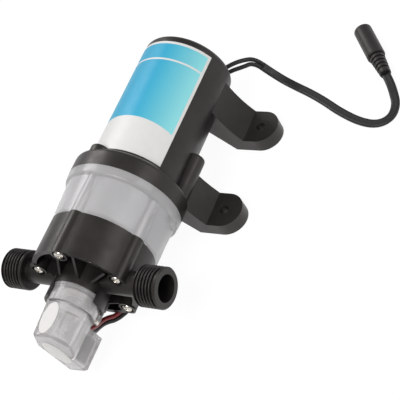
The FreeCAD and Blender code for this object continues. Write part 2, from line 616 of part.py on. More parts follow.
def pump_head():
    barrel = rod(HEAD_R, HEAD_FRONT_Y, HEAD_Y)
    recess = ring(HEAD_R - HEAD_WALL, HUB_R, HEAD_FRONT_Y - 1, RECESS_FLOOR_Y)
    solids = [barrel.cut(recess), rod(HUB_R, HUB_FRONT_Y, RECESS_FLOOR_Y + 1)]
    for angle in SCREW_ANGLES:
        solids.append(rod(SCREW_BOSS_R, HEAD_FRONT_Y - 0.6, HEAD_Y, polar(SCREW_PITCH_R, angle, 0)))
    solids += [gusset(*sizes) for sizes in GUSSETS]
    solids.append(rod(LUG_WIDTH / 2, HUB_FRONT_Y, RECESS_FLOOR_Y + 1, polar(LUG_PITCH_R, LUG_ANGLE, 0)))
    for angle0, angle1, reach in HOOKS:
        solids.append(arc_sector(HOOK_R - HOOK_WALL, HOOK_R, angle0, angle1,
                                 HUB_FRONT_Y - reach, HUB_FRONT_Y + 6.0))
    body = fuse(solids).fuse(ports())
    inlet_in, inlet_out, inlet_floor = INLET_CHAMBER
    outlet_r, outlet_floor = OUTLET_CHAMBER
    tools = [rod(VALVE_PLATE_R + FIT_GAP, GASKET_FRONT_Y, HEAD_Y + 1),
             ring(inlet_out, inlet_in, inlet_floor, GASKET_FRONT_Y + 1),
             rod(outlet_r, outlet_floor, GASKET_FRONT_Y + 1),
             rod(3.2, PORT_Y, inlet_floor + 1, V(-15.5, 0, AXIS_Z)),
             rod(3.6, PORT_Y, outlet_floor + 1, V(4.0, 0, AXIS_Z)),
             rod(2.5, HUB_FRONT_Y - 1, PORT_Y)]
    tools += port_cuts(1, -3.0) + port_cuts(-1, 12.5)
    tools.append(rod(LUG_SCREW_R, HUB_FRONT_Y - 1, HUB_FRONT_Y + 9.0, polar(LUG_PITCH_R, LUG_ANGLE, 0)))
    for angle in SCREW_ANGLES:
        centre = polar(SCREW_PITCH_R, angle, 0)
        tools.append(rod(SCREW_R + 0.2, SCREW_SEAT_Y - 1, HEAD_Y + 1, centre))
        tools.append(rod(SCREW_WELL_R, HUB_FRONT_Y, SCREW_SEAT_Y, centre))
    return cut(body, tools)


def head_screws():
    return Part.makeCompound([pan_screw(SCREW_R, SCREW_LENGTH, SCREW_HEAD_R, SCREW_HEAD, SCREW_SEAT_Y,
                                        polar(SCREW_PITCH_R, a, 0), -1) for a in SCREW_ANGLES])


def ring_circle(radius, y, centre, tilt):
    """Circle wire square to Y about a chamber centre, tilted with the drive if asked."""
    wire = Part.Wire(Part.makeCircle(radius, V(centre.x, y, centre.z), V(0, 1, 0)))
    return tilted(wire) if tilt else wire


def diaphragm():
    """Rubber disc whose three pads stand where the drive holds them at rest."""
    sheet = rod(DIAPHRAGM_R, HEAD_Y, PLATE_REAR_Y)
    pad_rear = POST_END_Y - RUN_GAP
    pads = []
    for angle in CHAMBER_ANGLES:
        centre = polar(CHAMBER_PITCH_R, angle, 0)
        sheet = sheet.cut(rod(CHAMBER_R - 0.4, HEAD_Y + 1, PLATE_REAR_Y - 1, centre))
        fold = [ring_circle(CHAMBER_R - 0.2, HEAD_Y - 0.15, centre, False),
                ring_circle(CHAMBER_R - 0.2, PLATE_REAR_Y + 0.15, centre, False),
                ring_circle(PAD_R - 0.15, pad_rear - PAD_THICK + 0.1, centre, True),
                ring_circle(PAD_R - 0.15, pad_rear - 0.1, centre, True)]
        faces = []
        for a, b in zip(fold, fold[1:] + fold[:1]):
            faces += Part.makeLoft([a, b], False, True).Faces
        shell = Part.makeShell(faces)
        shell.sewShape()
        pads.append(Part.Solid(shell))
        pads.append(tilted(rod(PAD_R, pad_rear - PAD_THICK, pad_rear, centre)))
    body = fuse([sheet] + pads)
    return cut(body, [tilted(rod(1.6, HEAD_Y + 4, PLATE_REAR_Y - 4, polar(CHAMBER_PITCH_R, a, 0)))
                      for a in CHAMBER_ANGLES])


def valve_plate():
    plate = rod(VALVE_PLATE_R, PLATE_FRONT_Y, PLATE_REAR_Y)
    tools = [rod(1.5, PLATE_FRONT_Y - 1, PLATE_FRONT_Y + 4.0)]
    for angle in CHAMBER_ANGLES:
        tools.append(rod(CHAMBER_R, CHAMBER_FLOOR_Y, PLATE_REAR_Y + 1, polar(CHAMBER_PITCH_R, angle, 0)))
        span = (PLATE_FRONT_Y - 1, CHAMBER_FLOOR_Y + 1)
        tools.append(rod(STEM_R, *span, polar(INLET_VALVE_PITCH_R, angle, 0)))
        for swing_by in (-5.5, 5.5):
            tools.append(rod(0.7, *span, polar(INLET_VALVE_PITCH_R, angle + swing_by, 0)))
            tools.append(rod(0.9, *span, polar(8.2, angle + 1.6 * swing_by, 0)))
    return cut(plate, tools)


def inlet_valves():
    valves = []
    for angle in CHAMBER_ANGLES:
        at = polar(INLET_VALVE_PITCH_R, angle, 0)
        valves.append(fuse([rod(INLET_VALVE_R, CHAMBER_FLOOR_Y, CHAMBER_FLOOR_Y + VALVE_THICK, at),
                            rod(STEM_R, PLATE_FRONT_Y - 1.4, CHAMBER_FLOOR_Y, at),
                            rod(1.2, PLATE_FRONT_Y - 1.4, PLATE_FRONT_Y, at)]))
    return Part.makeCompound(valves)


def outlet_valve():
    return fuse([rod(OUTLET_VALVE_R, PLATE_FRONT_Y - VALVE_THICK, PLATE_FRONT_Y),
                 rod(1.5, PLATE_FRONT_Y, PLATE_FRONT_Y + 3.8)])


def head_gasket():
    inlet_in, inlet_out, _ = INLET_CHAMBER
    outer = ring(VALVE_PLATE_R, inlet_out, GASKET_FRONT_Y, PLATE_FRONT_Y)
    inner = ring(inlet_in, OUTLET_CHAMBER[0], GASKET_FRONT_Y, PLATE_FRONT_Y)
    spokes = []
    for angle in CHAMBER_ANGLES:
        spoke = block((inlet_in - 0.5, inlet_out + 0.5), (GASKET_FRONT_Y, PLATE_FRONT_Y),
                      (AXIS_Z - 0.8, AXIS_Z + 0.8))
        spokes.append(swing(spoke, angle + 60))
    return fuse([outer, inner] + spokes)


def motor_can():
    front = JOINT_Y
    shell = rod(CAN_R, front, CAN_REAR_Y).cut(rod(CAN_R - CAN_WALL, front + 2.0, CAN_REAR_Y + 1))
    boss = rod(CAN_BOSS_R, front - CAN_BOSS, front + 2.0)
    body = fuse([shell, boss])
    tools = [rod(BUSH_R, front - CAN_BOSS - 1, front + 3)]
    for angle in MOTOR_SCREW_ANGLES:
        tools.append(rod(MOTOR_SCREW_R, front - 1, front + 3, polar(MOTOR_SCREW_PITCH_R, angle, 0)))
    return cut(body, tools)


def motor_end_cap():
    y0 = CAN_REAR_Y
    plate = rod(CAN_R - 0.4, y0, y0 + END_CAP_THICK - 2.0)
    spigot = ring(CAN_R - CAN_WALL, CAN_R - CAN_WALL - 2.0, y0 - 4.0, y0)
    boss = rod(7.6, y0, y0 + END_CAP_THICK + 1.6)
    slots = [block(sorted((side * (TERMINAL_X - 3.2), side * (TERMINAL_X + 3.2))),
                   (y0 - 1, y0 + END_CAP_THICK), (AXIS_Z - 0.4, AXIS_Z + 0.4)) for side in (-1, 1)]
    return cut(fuse([plate, spigot, boss]), [rod(BUSH_R - 0.8, y0 - 5, y0 + END_CAP_THICK + 3)] + slots)


def bush(y0, y1, radius):
    return ring(radius, SHAFT_R + RUN_GAP, y0, y1)


def motor_magnets():
    outer = CAN_R - CAN_WALL
    return Part.makeCompound([arc_sector(MAGNET_R, outer, a - 62, a + 62, *MAGNET_Y) for a in (90, 270)])


def slot_bars(radius, width, depth, y0, y1):
    bars = []
    for k in range(CORE_SLOTS):
        bar = block((radius - depth, radius + 1), (y0, y1), (AXIS_Z - width / 2, AXIS_Z + width / 2))
        bars.append(swing(bar, 360.0 / CORE_SLOTS * k))
    return bars


def armature_core():
    core = ring(CORE_R, SHAFT_R, *CORE_Y)
    return cut(core, slot_bars(CORE_R, SLOT_WIDTH, SLOT_DEPTH, CORE_Y[0] - 1, CORE_Y[1] + 1))


def armature_windings():
    bars = [b.common(rod(CORE_R - 0.8, CORE_Y[0] - 1, CORE_Y[1] + 1))
            for b in slot_bars(CORE_R, SLOT_WIDTH - 0.2, SLOT_DEPTH - 0.2, CORE_Y[0] - 0.5, CORE_Y[1] + 0.5)]
    end_r, inner_r = CORE_R - 1.6, CORE_R - SLOT_DEPTH - 0.3
    ends = [ring(end_r, inner_r, CORE_Y[0] - 4.4, CORE_Y[0] - RUN_GAP),
            ring(end_r, inner_r, CORE_Y[1] + RUN_GAP, CORE_Y[1] + 2.6)]
    ends = [rounded(e, 0.9, lambda edge: abs(getattr(edge.Curve, "Radius", 0) - end_r) < 0.01) for e in ends]
    return fuse(ends + bars)


def commutator():
    body = ring(COMMUTATOR_R, SHAFT_R, *COMMUTATOR_Y)
    grooves = []
    for k in range(CORE_SLOTS):
        groove = block((COMMUTATOR_R - 0.6, COMMUTATOR_R + 1), (COMMUTATOR_Y[0] + 1.2, COMMUTATOR_Y[1] + 1),
                       (AXIS_Z - 0.25, AXIS_Z + 0.25))
        grooves.append(swing(groove, 360.0 / CORE_SLOTS * (k + 0.5)))
    return cut(body, grooves)


def brushes():
    out = []
    for side in (-1, 1):
        span = sorted((side * (COMMUTATOR_R + RUN_GAP), side * (COMMUTATOR_R + RUN_GAP + BRUSH_LENGTH)))
        out.append(block(span, (COMMUTATOR_Y[0] + 1.6, COMMUTATOR_Y[0] + 6.4), (AXIS_Z - 2, AXIS_Z + 2)))
    return Part.makeCompound(out)


def brush_arms():
    """Spring strips that press the brushes and carry on as the two terminals."""
    arms = []
    brush_end = COMMUTATOR_R + RUN_GAP + BRUSH_LENGTH
    for side in (-1, 1):
        strip = block(sorted((side * brush_end, side * (brush_end + 0.4))),
                      (COMMUTATOR_Y[0] + 1.6, CAN_REAR_Y - 0.3), (AXIS_Z - 2, AXIS_Z + 2))
        foot = block(sorted((side * brush_end, side * (TERMINAL_X + 3.0))),
                     (CAN_REAR_Y - 0.7, CAN_REAR_Y - 0.1), (AXIS_Z - 2, AXIS_Z + 2))
        tab = block(sorted((side * (TERMINAL_X - 3.0), side * (TERMINAL_X + 3.0))),
                    (CAN_REAR_Y - 0.3, CAN_REAR_Y + END_CAP_THICK + TAB_LENGTH), (AXIS_Z - 0.4, AXIS_Z + 0.4))
        arms.append(fuse([strip, foot, tab]))
    return Part.makeCompound(arms)


def motor_screws():
    seat = JOINT_Y - CLEAR_BULKHEAD
    screws = []
    for angle in MOTOR_SCREW_ANGLES:
        at = polar(MOTOR_SCREW_PITCH_R, angle, 0)
        screws.append(pan_screw(MOTOR_SCREW_R, CLEAR_BULKHEAD + 2.0, MOTOR_SCREW_HEAD_R,
                                MOTOR_SCREW_HEAD, seat, at, -1))
    return Part.makeCompound(screws)


def eccentric_hub():
    """Collar on the shaft with a seat turned off square for the bearing."""
    half = BEARING_WIDTH / 2
    seat = tilted(rod(SEAT_R, WOBBLE_Y - half, WOBBLE_Y + half + 1.5))
    shoulder = tilted(rod(SEAT_R + 1.2, WOBBLE_Y + half, WOBBLE_Y + half + 1.2))
    collar = rod(HUB_COLLAR_R, *HUB_COLLAR_Y)
    grub_y = sum(HUB_COLLAR_Y) / 2
    grub_hole = Part.makeCylinder(1.0, HUB_COLLAR_R, V(0, grub_y, AXIS_Z), V(1, 0, 0))
    return cut(fuse([seat, shoulder, collar]), [rod(SHAFT_R, *SHAFT_Y), grub_hole])


def hub_grub_screw():
    grub_y = sum(HUB_COLLAR_Y) / 2
    return Part.makeCylinder(1.0, HUB_COLLAR_R - SHAFT_R - 0.7, V(SHAFT_R + 0.1, grub_y, AXIS_Z), V(1, 0, 0))


def race_groove():
    return Part.makeTorus(BALL_PITCH_R, BALL_GROOVE_R, V(0, WOBBLE_Y, AXIS_Z), V(0, 1, 0))


def bearing_span():
    return WOBBLE_Y - BEARING_WIDTH / 2, WOBBLE_Y + BEARING_WIDTH / 2


def bearing_inner_ring():
    return tilted(ring(SEAT_R + RING_WALL, SEAT_R, *bearing_span()).cut(race_groove()))


def bearing_outer_ring():
    return tilted(ring(BEARING_R, BEARING_R - RING_WALL, *bearing_span()).cut(race_groove()))


def ball_centres():
    return [polar(BALL_PITCH_R, 360.0 / BALL_COUNT * k, WOBBLE_Y) for k in range(BALL_COUNT)]


def bearing_balls():
    return tilted(Part.makeCompound([Part.makeSphere(BALL_R, c) for c in ball_centres()]))


def bearing_cage():
    cage = ring(7.4, 6.1, WOBBLE_Y - 2.1, WOBBLE_Y + 2.1)
    axis = V(0, WOBBLE_Y, AXIS_Z)
    return tilted(cut(cage, [Part.makeCylinder(BALL_R + 0.1, 9.0, axis, c - axis) for c in ball_centres()]))


def wobble_plate():
    """Cup round the bearing with three posts that push the diaphragm."""
    front, rear = bearing_span()
    cup = rod(PLATE_R, front - 3.0, rear - 0.4)
    solids = [cup]
    for angle in CHAMBER_ANGLES:
        solids.append(rod(POST_R, POST_END_Y, front + 1.0, polar(CHAMBER_PITCH_R, angle, 0)))
    tools = [rod(BEARING_R, front, rear + 1), rod(BEARING_R - RING_WALL, front - 0.9, front + 1)]
    for angle in CHAMBER_ANGLES:
        tools.append(rod(1.2, POST_END_Y - 1, POST_END_Y + 7.0, polar(CHAMBER_PITCH_R, angle, 0)))
        tools.append(rod(3.0, POST_END_Y - 1, front - 3.0, polar(4.4, angle + 60, 0)))
    return tilted(cut(fuse(solids), tools))


def piston_pads():
    """Cups that clamp the diaphragm on the posts."""
    rear = POST_END_Y - 2 * RUN_GAP - PAD_THICK
    pads = []
    for angle in CHAMBER_ANGLES:
        pads.append(ring(PISTON_R, 1.2, rear - 1.0, rear, polar(CHAMBER_PITCH_R, angle, 0)))
    return tilted(Part.makeCompound(pads))


def piston_screws():
    seat = POST_END_Y - 2 * RUN_GAP - PAD_THICK - 1.0
    return tilted(Part.makeCompound([pan_screw(1.2, 7.5, 2.3, 1.1, seat, polar(CHAMBER_PITCH_R, a, 0), -1)
                                     for a in CHAMBER_ANGLES]))


def lug_block(y0, y1):
    """Screw ear of the switch neck."""
    ear = block((NECK_OUTER_R - 2.5, LUG_PITCH_R + LUG_WIDTH / 2 - 1.2), (y0, y1),
                (AXIS_Z - LUG_WIDTH / 2, AXIS_Z + LUG_WIDTH / 2))
    edges = [e for e in ear.Edges if e.BoundBox.XMin > LUG_PITCH_R and e.BoundBox.YLength > 1]
    return swing(ear.makeFillet(1.5, edges), LUG_ANGLE)


def switch_neck():
    lug_y = HUB_FRONT_Y - LUG_THICK
    solids = [rod(NECK_OUTER_R, NECK_FRONT_Y, HUB_FRONT_Y),
              rod(NECK_FLANGE_R - 0.4, HUB_FRONT_Y - NECK_FLANGE, HUB_FRONT_Y),
              rod(SWITCH_SPIGOT_R + 1.0, CAP_REAR_Y, NECK_FRONT_Y),
              rod(SWITCH_SPIGOT_R, SWITCH_SPIGOT_Y, CAP_REAR_Y),
              lug_block(lug_y, HUB_FRONT_Y)]
    at = polar(LUG_PITCH_R, LUG_ANGLE, 0)
    tools = [rod(SWITCH_BORE_R, SWITCH_SPIGOT_Y - 1, HUB_FRONT_Y + 1),
             rod(SEAL_R + FIT_GAP, HUB_FRONT_Y - SEAL_THICK, HUB_FRONT_Y + 1),
             rod(LUG_SCREW_R + 0.2, lug_y - 1, HUB_FRONT_Y + 1, at),
             rod(LUG_SCREW_HEAD_R + 0.3, NECK_FRONT_Y - 1, lug_y, at)]
    return cut(fuse(solids), tools)


def switch_screw():
    return pan_screw(LUG_SCREW_R, LUG_THICK + 8.5, LUG_SCREW_HEAD_R, LUG_SCREW_HEAD, HUB_FRONT_Y - LUG_THICK,
                     polar(LUG_PITCH_R, LUG_ANGLE, 0), -1)


def switch_seal():
    disc = rod(SEAL_R, HUB_FRONT_Y - SEAL_THICK, HUB_FRONT_Y)
    groove = Part.makeTorus(6.6, 0.6, V(0, HUB_FRONT_Y, AXIS_Z), V(0, 1, 0))
    return disc.cut(groove)


def cap_outline(radius, inset, y):
    """Hexagon with the switch box hung from its lower left."""
    x0, x1, bottom = BOX_X[0] + inset, BOX_X[1] - inset, BOX_BOTTOM + inset
    corner = [(radius * math.cos(math.radians(a)), radius * math.sin(math.radians(a)))
              for a in (0, 60, 120, 180)]
    flat = -radius * math.sin(math.radians(60))
    points = corner + [(x0, bottom), (x1, bottom), (x1, flat), (radius / 2, flat)]
    corners = [V(x, y, AXIS_Z + z) for x, z in points]
    return Part.makePolygon(corners + [corners[0]])


def plunger_slot():
    """Room below the bore for the plunger's arm."""
    x_mid = (BOX_X[0] + BOX_X[1]) / 2
    return block((x_mid - 1.9, x_mid + 1.9), (CAP_FRONT_Y + CAP_END_WALL, SWITCH_SPIGOT_Y),
                 (AXIS_Z - 15.0, AXIS_Z))


def switch_cap():
    stations = [(CAP_REAR_R, 0.0, CAP_REAR_Y), (CAP_FRONT_R, 0.0, CAP_BEVEL_Y), (CAP_END_R, 1.0, CAP_FRONT_Y)]
    solid = Part.makeLoft([cap_outline(r, inset, y) for r, inset, y in stations], True, True)
    inner_y = CAP_FRONT_Y + CAP_END_WALL
    window = block((-3.6, 2.2), (CAP_BEVEL_Y + 2.6, CAP_REAR_Y - 3.4),
                   (AXIS_Z + CAP_FRONT_R * 0.866 - 0.5, AXIS_Z + 14))
    tools = [rod(CAP_BORE_R, inner_y, CAP_REAR_Y + 1),
             rod(SWITCH_SPIGOT_R + FIT_GAP, SWITCH_SPIGOT_Y - 0.2, CAP_REAR_Y + 1),
             block((BOX_X[0] + CAP_WALL, BOX_X[1] - CAP_WALL), (inner_y, CAP_REAR_Y - CAP_WALL),
                   (AXIS_Z + BOX_BOTTOM + CAP_WALL, AXIS_Z - 14.8)),
             plunger_slot(), swing(window, -60)]
    cap = swing(cut(solid, tools), SWITCH_TURN)
    holes = [Part.makeCylinder(WIRE_R + 0.1, 4.0, V(*route[0]) + V(0, -2.4, 0), V(0, 1, 0))
             for route in (RED_ROUTE, BLACK_ROUTE)]
    return cut(cap, holes)


def microswitch_origin():
    """Low corner of the microswitch in the untwisted frame of the cap."""
    length, height, width = MICRO_BODY
    x_mid = (BOX_X[0] + BOX_X[1]) / 2
    return V(x_mid - width / 2, MICRO_REAR_Y - length, AXIS_Z + BOX_BOTTOM + CAP_WALL)


def microswitch_body():
    length, height, width = MICRO_BODY
    low = microswitch_origin()
    body = Part.makeBox(width, length, height, low)
    body = body.makeFillet(0.4, [e for e in body.Edges if e.BoundBox.XLength > 1])
    x_mid = low.x + width / 2
    hole = Part.makeCylinder(BUTTON_R + RUN_GAP, 3.0, V(x_mid, BUTTON_Y, low.z + height - 2.0))
    return swing(body.cut(hole), SWITCH_TURN)


def microswitch_button():
    _, height, width = MICRO_BODY
    low = microswitch_origin()
    bottom = low.z + height - 1.2
    top = AXIS_Z + BUTTON_TOP
    button = Part.makeCylinder(BUTTON_R, top - bottom, V(low.x + width / 2, BUTTON_Y, bottom))
    button = button.makeFillet(0.35, [e for e in button.Edges if e.BoundBox.ZMin > top - 0.01])
    return swing(button, SWITCH_TURN)


def plunger():
    """Pressure disc with a spring guide and the wedge arm that works the microswitch."""
    disc_y = HUB_FRONT_Y - SEAL_THICK - RUN_GAP
    x_mid = microswitch_origin().x + MICRO_BODY[2] / 2
    arm_x = (x_mid - 1.3, x_mid + 1.3)
    front_y, rear_y, ramp_y = BUTTON_Y - 3.0, BUTTON_Y + 3.0, BUTTON_Y + 1.6
    arm = block(arm_x, (front_y, disc_y), (AXIS_Z - 7.9, AXIS_Z - 6.0))
    wedge_z = AXIS_Z + BUTTON_TOP + 0.3
    slope = BUTTON_RATIO
    corners = [V(arm_x[0], front_y, AXIS_Z - 6.2), V(arm_x[0], rear_y, AXIS_Z - 6.2),
               V(arm_x[0], rear_y, wedge_z - (rear_y - BUTTON_Y) * slope + 0.6),
               V(arm_x[0], ramp_y, wedge_z - (ramp_y - BUTTON_Y) * slope),
               V(arm_x[0], front_y, wedge_z - (front_y - BUTTON_Y) * slope)]
    wedge = Part.Face(Part.makePolygon(corners + [corners[0]])).extrude(V(arm_x[1] - arm_x[0], 0, 0))
    parts = [rod(PLUNGER_DISC_R, disc_y - PLUNGER_DISC, disc_y), rod(PLUNGER_STEM_R, disc_y - 10.0, disc_y)]
    arm_in_bore = arm.common(rod(SWITCH_BORE_R - 0.4, front_y - 0.5, disc_y)).fuse(wedge)
    return swing(fuse(parts + arm_in_bore.Solids), SWITCH_TURN)


def pressure_spring():
    """One unbroken coil between the plunger's disc and the cap's end wall."""
    rear = HUB_FRONT_Y - SEAL_THICK - RUN_GAP - PLUNGER_DISC - SPRING_WIRE_R - 0.05
    front = CAP_FRONT_Y + CAP_END_WALL + SPRING_WIRE_R + 0.05
    pitch = (rear - front) / SPRING_TURNS
    helix = Part.makeLongHelix(pitch, rear - front, SPRING_R, 0)
    profile = Part.Wire(Part.makeCircle(SPRING_WIRE_R, V(SPRING_R, 0, 0), V(0, 1, 0)))
    coil = Part.Wire(helix.Edges).makePipeShell([profile], True, True)
    coil.rotate(V(0, 0, 0), V(1, 0, 0), -90)
    coil.translate(V(0, front, AXIS_Z))
    print("spring gap between turns %.2f  volume ratio %.4f"
          % (pitch - 2 * SPRING_WIRE_R, coil.Volume / (math.pi * SPRING_WIRE_R ** 2 * helix.Length)))
    return coil


def oval(length, width, thick):
    """Flat oval about the origin, long axis along Y, thickness up Z."""
    ellipse = Part.Ellipse(V(0, 0, 0), length / 2, width / 2).toShape()
    solid = Part.Face(Part.Wire(ellipse)).extrude(V(0, 0, thick))
    solid.rotate(V(0, 0, 0), V(0, 0, 1), 90)
    return solid


def switch_stickers():
    """Blank ovals on the upper left facet and on the end face."""
    facet = oval(STICKER_LENGTH * 0.86, STICKER_WIDTH * 0.86, STICKER_THICK)
    middle_y = (CAP_REAR_Y + CAP_BEVEL_Y) / 2
    facet_r = (CAP_REAR_R + CAP_FRONT_R) / 2 * math.cos(math.radians(30))
    slope = math.degrees(math.atan((CAP_REAR_R - CAP_FRONT_R) * math.cos(math.radians(30))
                                   / (CAP_REAR_Y - CAP_BEVEL_Y)))
    facet.rotate(V(0, 0, 0), V(1, 0, 0), slope)
    facet.translate(V(0, middle_y, AXIS_Z + facet_r))
    end = oval(STICKER_LENGTH, STICKER_WIDTH, STICKER_THICK)
    end.rotate(V(0, 0, 0), V(1, 0, 0), 90)
    end.translate(V(-3.6, CAP_FRONT_Y, AXIS_Z - 6.6))
    return Part.makeCompound([swing(facet, SWITCH_TURN), swing(end, SWITCH_TURN)])


def last_step(route):
    return (V(*route[-1]) - V(*route[-2])).normalize()


def splices():
    """Crimp sleeves where the switch wires meet the inner wires."""
    return Part.makeCompound([Part.makeCylinder(WIRE_R + 0.5, SPLICE_LENGTH, V(*r[-1]), last_step(r))
                              for r in (RED_ROUTE, BLACK_ROUTE)])


def inner_leads():
    """Wires inside the cover between the splices, the terminals and the lead holes."""
    tab_y = CAN_REAR_Y + END_CAP_THICK + TAB_LENGTH + WIRE_GAP
    starts = []
    for route in (RED_ROUTE, BLACK_ROUTE):
        end = V(*route[-1]) + last_step(route) * (SPLICE_LENGTH + RUN_GAP)
        starts.append([tuple(end), tuple(end + last_step(route) * 1.5)])
    into_a = (LEAD_A_ROUTE[0][0], LEAD_A_ROUTE[0][1] - WIRE_GAP, LEAD_A_ROUTE[0][2])
    into_b = (LEAD_B_ROUTE[0][0], LEAD_B_ROUTE[0][1] - WIRE_GAP, LEAD_B_ROUTE[0][2])
    route_a = starts[0] + [(5.5, REAR_Y - 8.5, 26.0), (11.9, REAR_Y - 7.3, 26.2), into_a]
    route_b = starts[1] + [(11.0, REAR_Y - 11.9, 28.0), (TERMINAL_X, tab_y + 5.6, 35.5),
                           (TERMINAL_X, tab_y, AXIS_Z)]
    route_c = [into_b, (11.8, REAR_Y - 8.2, 22.0), (4.0, REAR_Y - 7.5, 18.0),
               (-8.0, REAR_Y - 8.5, 23.0), (-TERMINAL_X, tab_y + 6.1, 33.5), (-TERMINAL_X, tab_y, AXIS_Z)]
    return Part.makeCompound([round_wire("inner lead a", route_a, INNER_WIRE_R),
                              round_wire("inner lead b", route_b, INNER_WIRE_R),
                              round_wire("inner lead c", route_c, INNER_WIRE_R)])


def along_jack(shape):
    """Move a solid made along +Z from the origin onto the jack's axis."""
    start, end = V(*TWIN_ROUTE[-1]), V(*JACK_AXIS_END)
    out = shape.copy()
    start = start + (end - start).normalize() * RUN_GAP
    turn = FreeCAD.Rotation(V(0, 0, 1), end - start)
    out.Placement = FreeCAD.Placement(start, turn).multiply(out.Placement)
    return out


def jack_length():
    return (V(*JACK_AXIS_END) - V(*TWIN_ROUTE[-1])).Length


def revolve_z(points):
    corners = [V(r, 0, z) for r, z in points]
    return Part.Face(Part.makePolygon(corners + [corners[0]])).revolve(V(0, 0, 0), V(0, 0, 1), 360)


def jack_body():
    """Moulded grip with a ribbed relief; the socket is open at the far end."""
    length = jack_length()
    grip = length - JACK_BODY_LENGTH
    outline = [(0, 0), (RELIEF_END_R, 0)]
    step = (grip - 2.0) / RELIEF_RIBS
    for k in range(RELIEF_RIBS):
        r = RELIEF_END_R + (RELIEF_ROOT_R - RELIEF_END_R) * (k + 1) / RELIEF_RIBS
        z = 1.0 + k * step
        outline += [(r, z), (r, z + 0.62 * step), (r - 0.7, z + 0.62 * step), (r - 0.7, z + step)]
    outline += [(RELIEF_ROOT_R, grip - 1.0), (JACK_R - 0.4, grip - 1.0), (JACK_R, grip),
                (JACK_R, length - 0.6), (JACK_R - 0.6, length), (0, length)]
    body = revolve_z(outline)
    floor = V(0, 0, length - JACK_SOCKET_DEPTH)
    socket = Part.makeCylinder(JACK_SOCKET_R + JACK_SLEEVE_WALL, JACK_SOCKET_DEPTH, floor)
    return along_jack(body.cut(socket))


def jack_sleeve():
    floor = V(0, 0, jack_length() - JACK_SOCKET_DEPTH)
    sleeve = Part.makeCylinder(JACK_SOCKET_R + JACK_SLEEVE_WALL, JACK_SOCKET_DEPTH - 0.8, floor)
    hollow = Part.makeCylinder(JACK_SOCKET_R, JACK_SOCKET_DEPTH, floor)
    return along_jack(sleeve.cut(hollow))


def jack_pin():
    length = jack_length()
    floor = V(0, 0, length - JACK_SOCKET_DEPTH)
    pin = Part.makeCylinder(JACK_PIN_R, JACK_SOCKET_DEPTH - 1.2, floor)
    return along_jack(pin.makeFillet(0.5, [e for e in pin.Edges if e.BoundBox.ZMin > length - 1.3]))


def main():
    os.makedirs("parts", exist_ok=True)
    save("motor_cover", motor_cover())
    save("motor_label", motor_label())
    save("cover_screws", cover_screws())
    save("eccentric_housing", eccentric_housing())
    save("pump_head", pump_head())
    save("head_screws", head_screws())
    save("diaphragm", diaphragm())
    save("valve_plate", valve_plate())
    save("inlet_valves", inlet_valves())
    save("outlet_valve", outlet_valve())
    save("head_gasket", head_gasket())
    save("motor_can", motor_can())
    save("motor_end_cap", motor_end_cap())
    save("front_bush", bush(JOINT_Y - CAN_BOSS, JOINT_Y + 2.0, BUSH_R))
    save("rear_bush", bush(CAN_REAR_Y, CAN_REAR_Y + END_CAP_THICK + 1.6, BUSH_R - 0.8))
    save("motor_magnets", motor_magnets())
    save("brushes", brushes())
    save("brush_arms", brush_arms())
    save("motor_screws", motor_screws())
    save("motor_shaft", rod(SHAFT_R, *SHAFT_Y))
    save("armature_core", armature_core())
    save("armature_windings", armature_windings())
    save("commutator", commutator())
    save("eccentric_hub", eccentric_hub())
    save("hub_grub_screw", hub_grub_screw())
    save("bearing_inner_ring", bearing_inner_ring())
    save("bearing_balls", bearing_balls())
    save("bearing_cage", bearing_cage())
    save("bearing_outer_ring", bearing_outer_ring())
    save("wobble_plate", wobble_plate())
    save("piston_pads", piston_pads())
    save("piston_screws", piston_screws())
    save("switch_neck", switch_neck())
    save("switch_screw", switch_screw())
    save("switch_seal", switch_seal())
    save("switch_cap", switch_cap())
    save("microswitch_body", microswitch_body())
    save("microswitch_button", microswitch_button())
    save("plunger", plunger())
    save("pressure_spring", pressure_spring())
    save("switch_stickers", switch_stickers())
    save("switch_wire_red", round_wire("red wire", RED_ROUTE))
    save("switch_wire_black", round_wire("black wire", BLACK_ROUTE))
    save("wire_splices", splices())
    save("inner_leads", inner_leads())
    save("lead_wire_a", round_wire("lead wire a", LEAD_A_ROUTE))
    save("lead_wire_b", round_wire("lead wire b", LEAD_B_ROUTE))
    save("power_lead", flat_cable("power lead", TWIN_ROUTE, 5))
    save("jack_body", jack_body())
    save("jack_sleeve", jack_sleeve())
    save("jack_pin", jack_pin())


main()
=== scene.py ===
import math

import bmesh
import bpy
from mathutils import Matrix, Vector


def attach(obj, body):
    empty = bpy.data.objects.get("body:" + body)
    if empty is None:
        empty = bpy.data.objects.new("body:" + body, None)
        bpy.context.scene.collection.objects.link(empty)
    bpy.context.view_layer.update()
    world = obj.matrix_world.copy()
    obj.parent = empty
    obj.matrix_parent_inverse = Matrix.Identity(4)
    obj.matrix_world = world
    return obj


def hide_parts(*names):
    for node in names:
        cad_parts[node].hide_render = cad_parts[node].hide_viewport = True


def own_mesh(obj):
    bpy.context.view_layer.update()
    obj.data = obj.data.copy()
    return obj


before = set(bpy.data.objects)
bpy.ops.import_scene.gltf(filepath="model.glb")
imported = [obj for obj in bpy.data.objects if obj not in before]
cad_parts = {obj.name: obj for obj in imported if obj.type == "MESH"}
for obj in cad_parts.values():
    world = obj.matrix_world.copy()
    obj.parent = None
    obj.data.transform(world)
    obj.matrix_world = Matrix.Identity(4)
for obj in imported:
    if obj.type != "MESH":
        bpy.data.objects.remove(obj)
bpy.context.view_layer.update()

# Lengths in metres, in the part's own frame. They repeat the solids' driving values.
# Angles about the pump's axis are in degrees, from +X toward +Z.
MM = 0.001
AXIS_Z = 36.5 * MM
TOWARD_HEAD = Vector((0, -1, 0))
UPWARD = Vector((0, 0, 1))

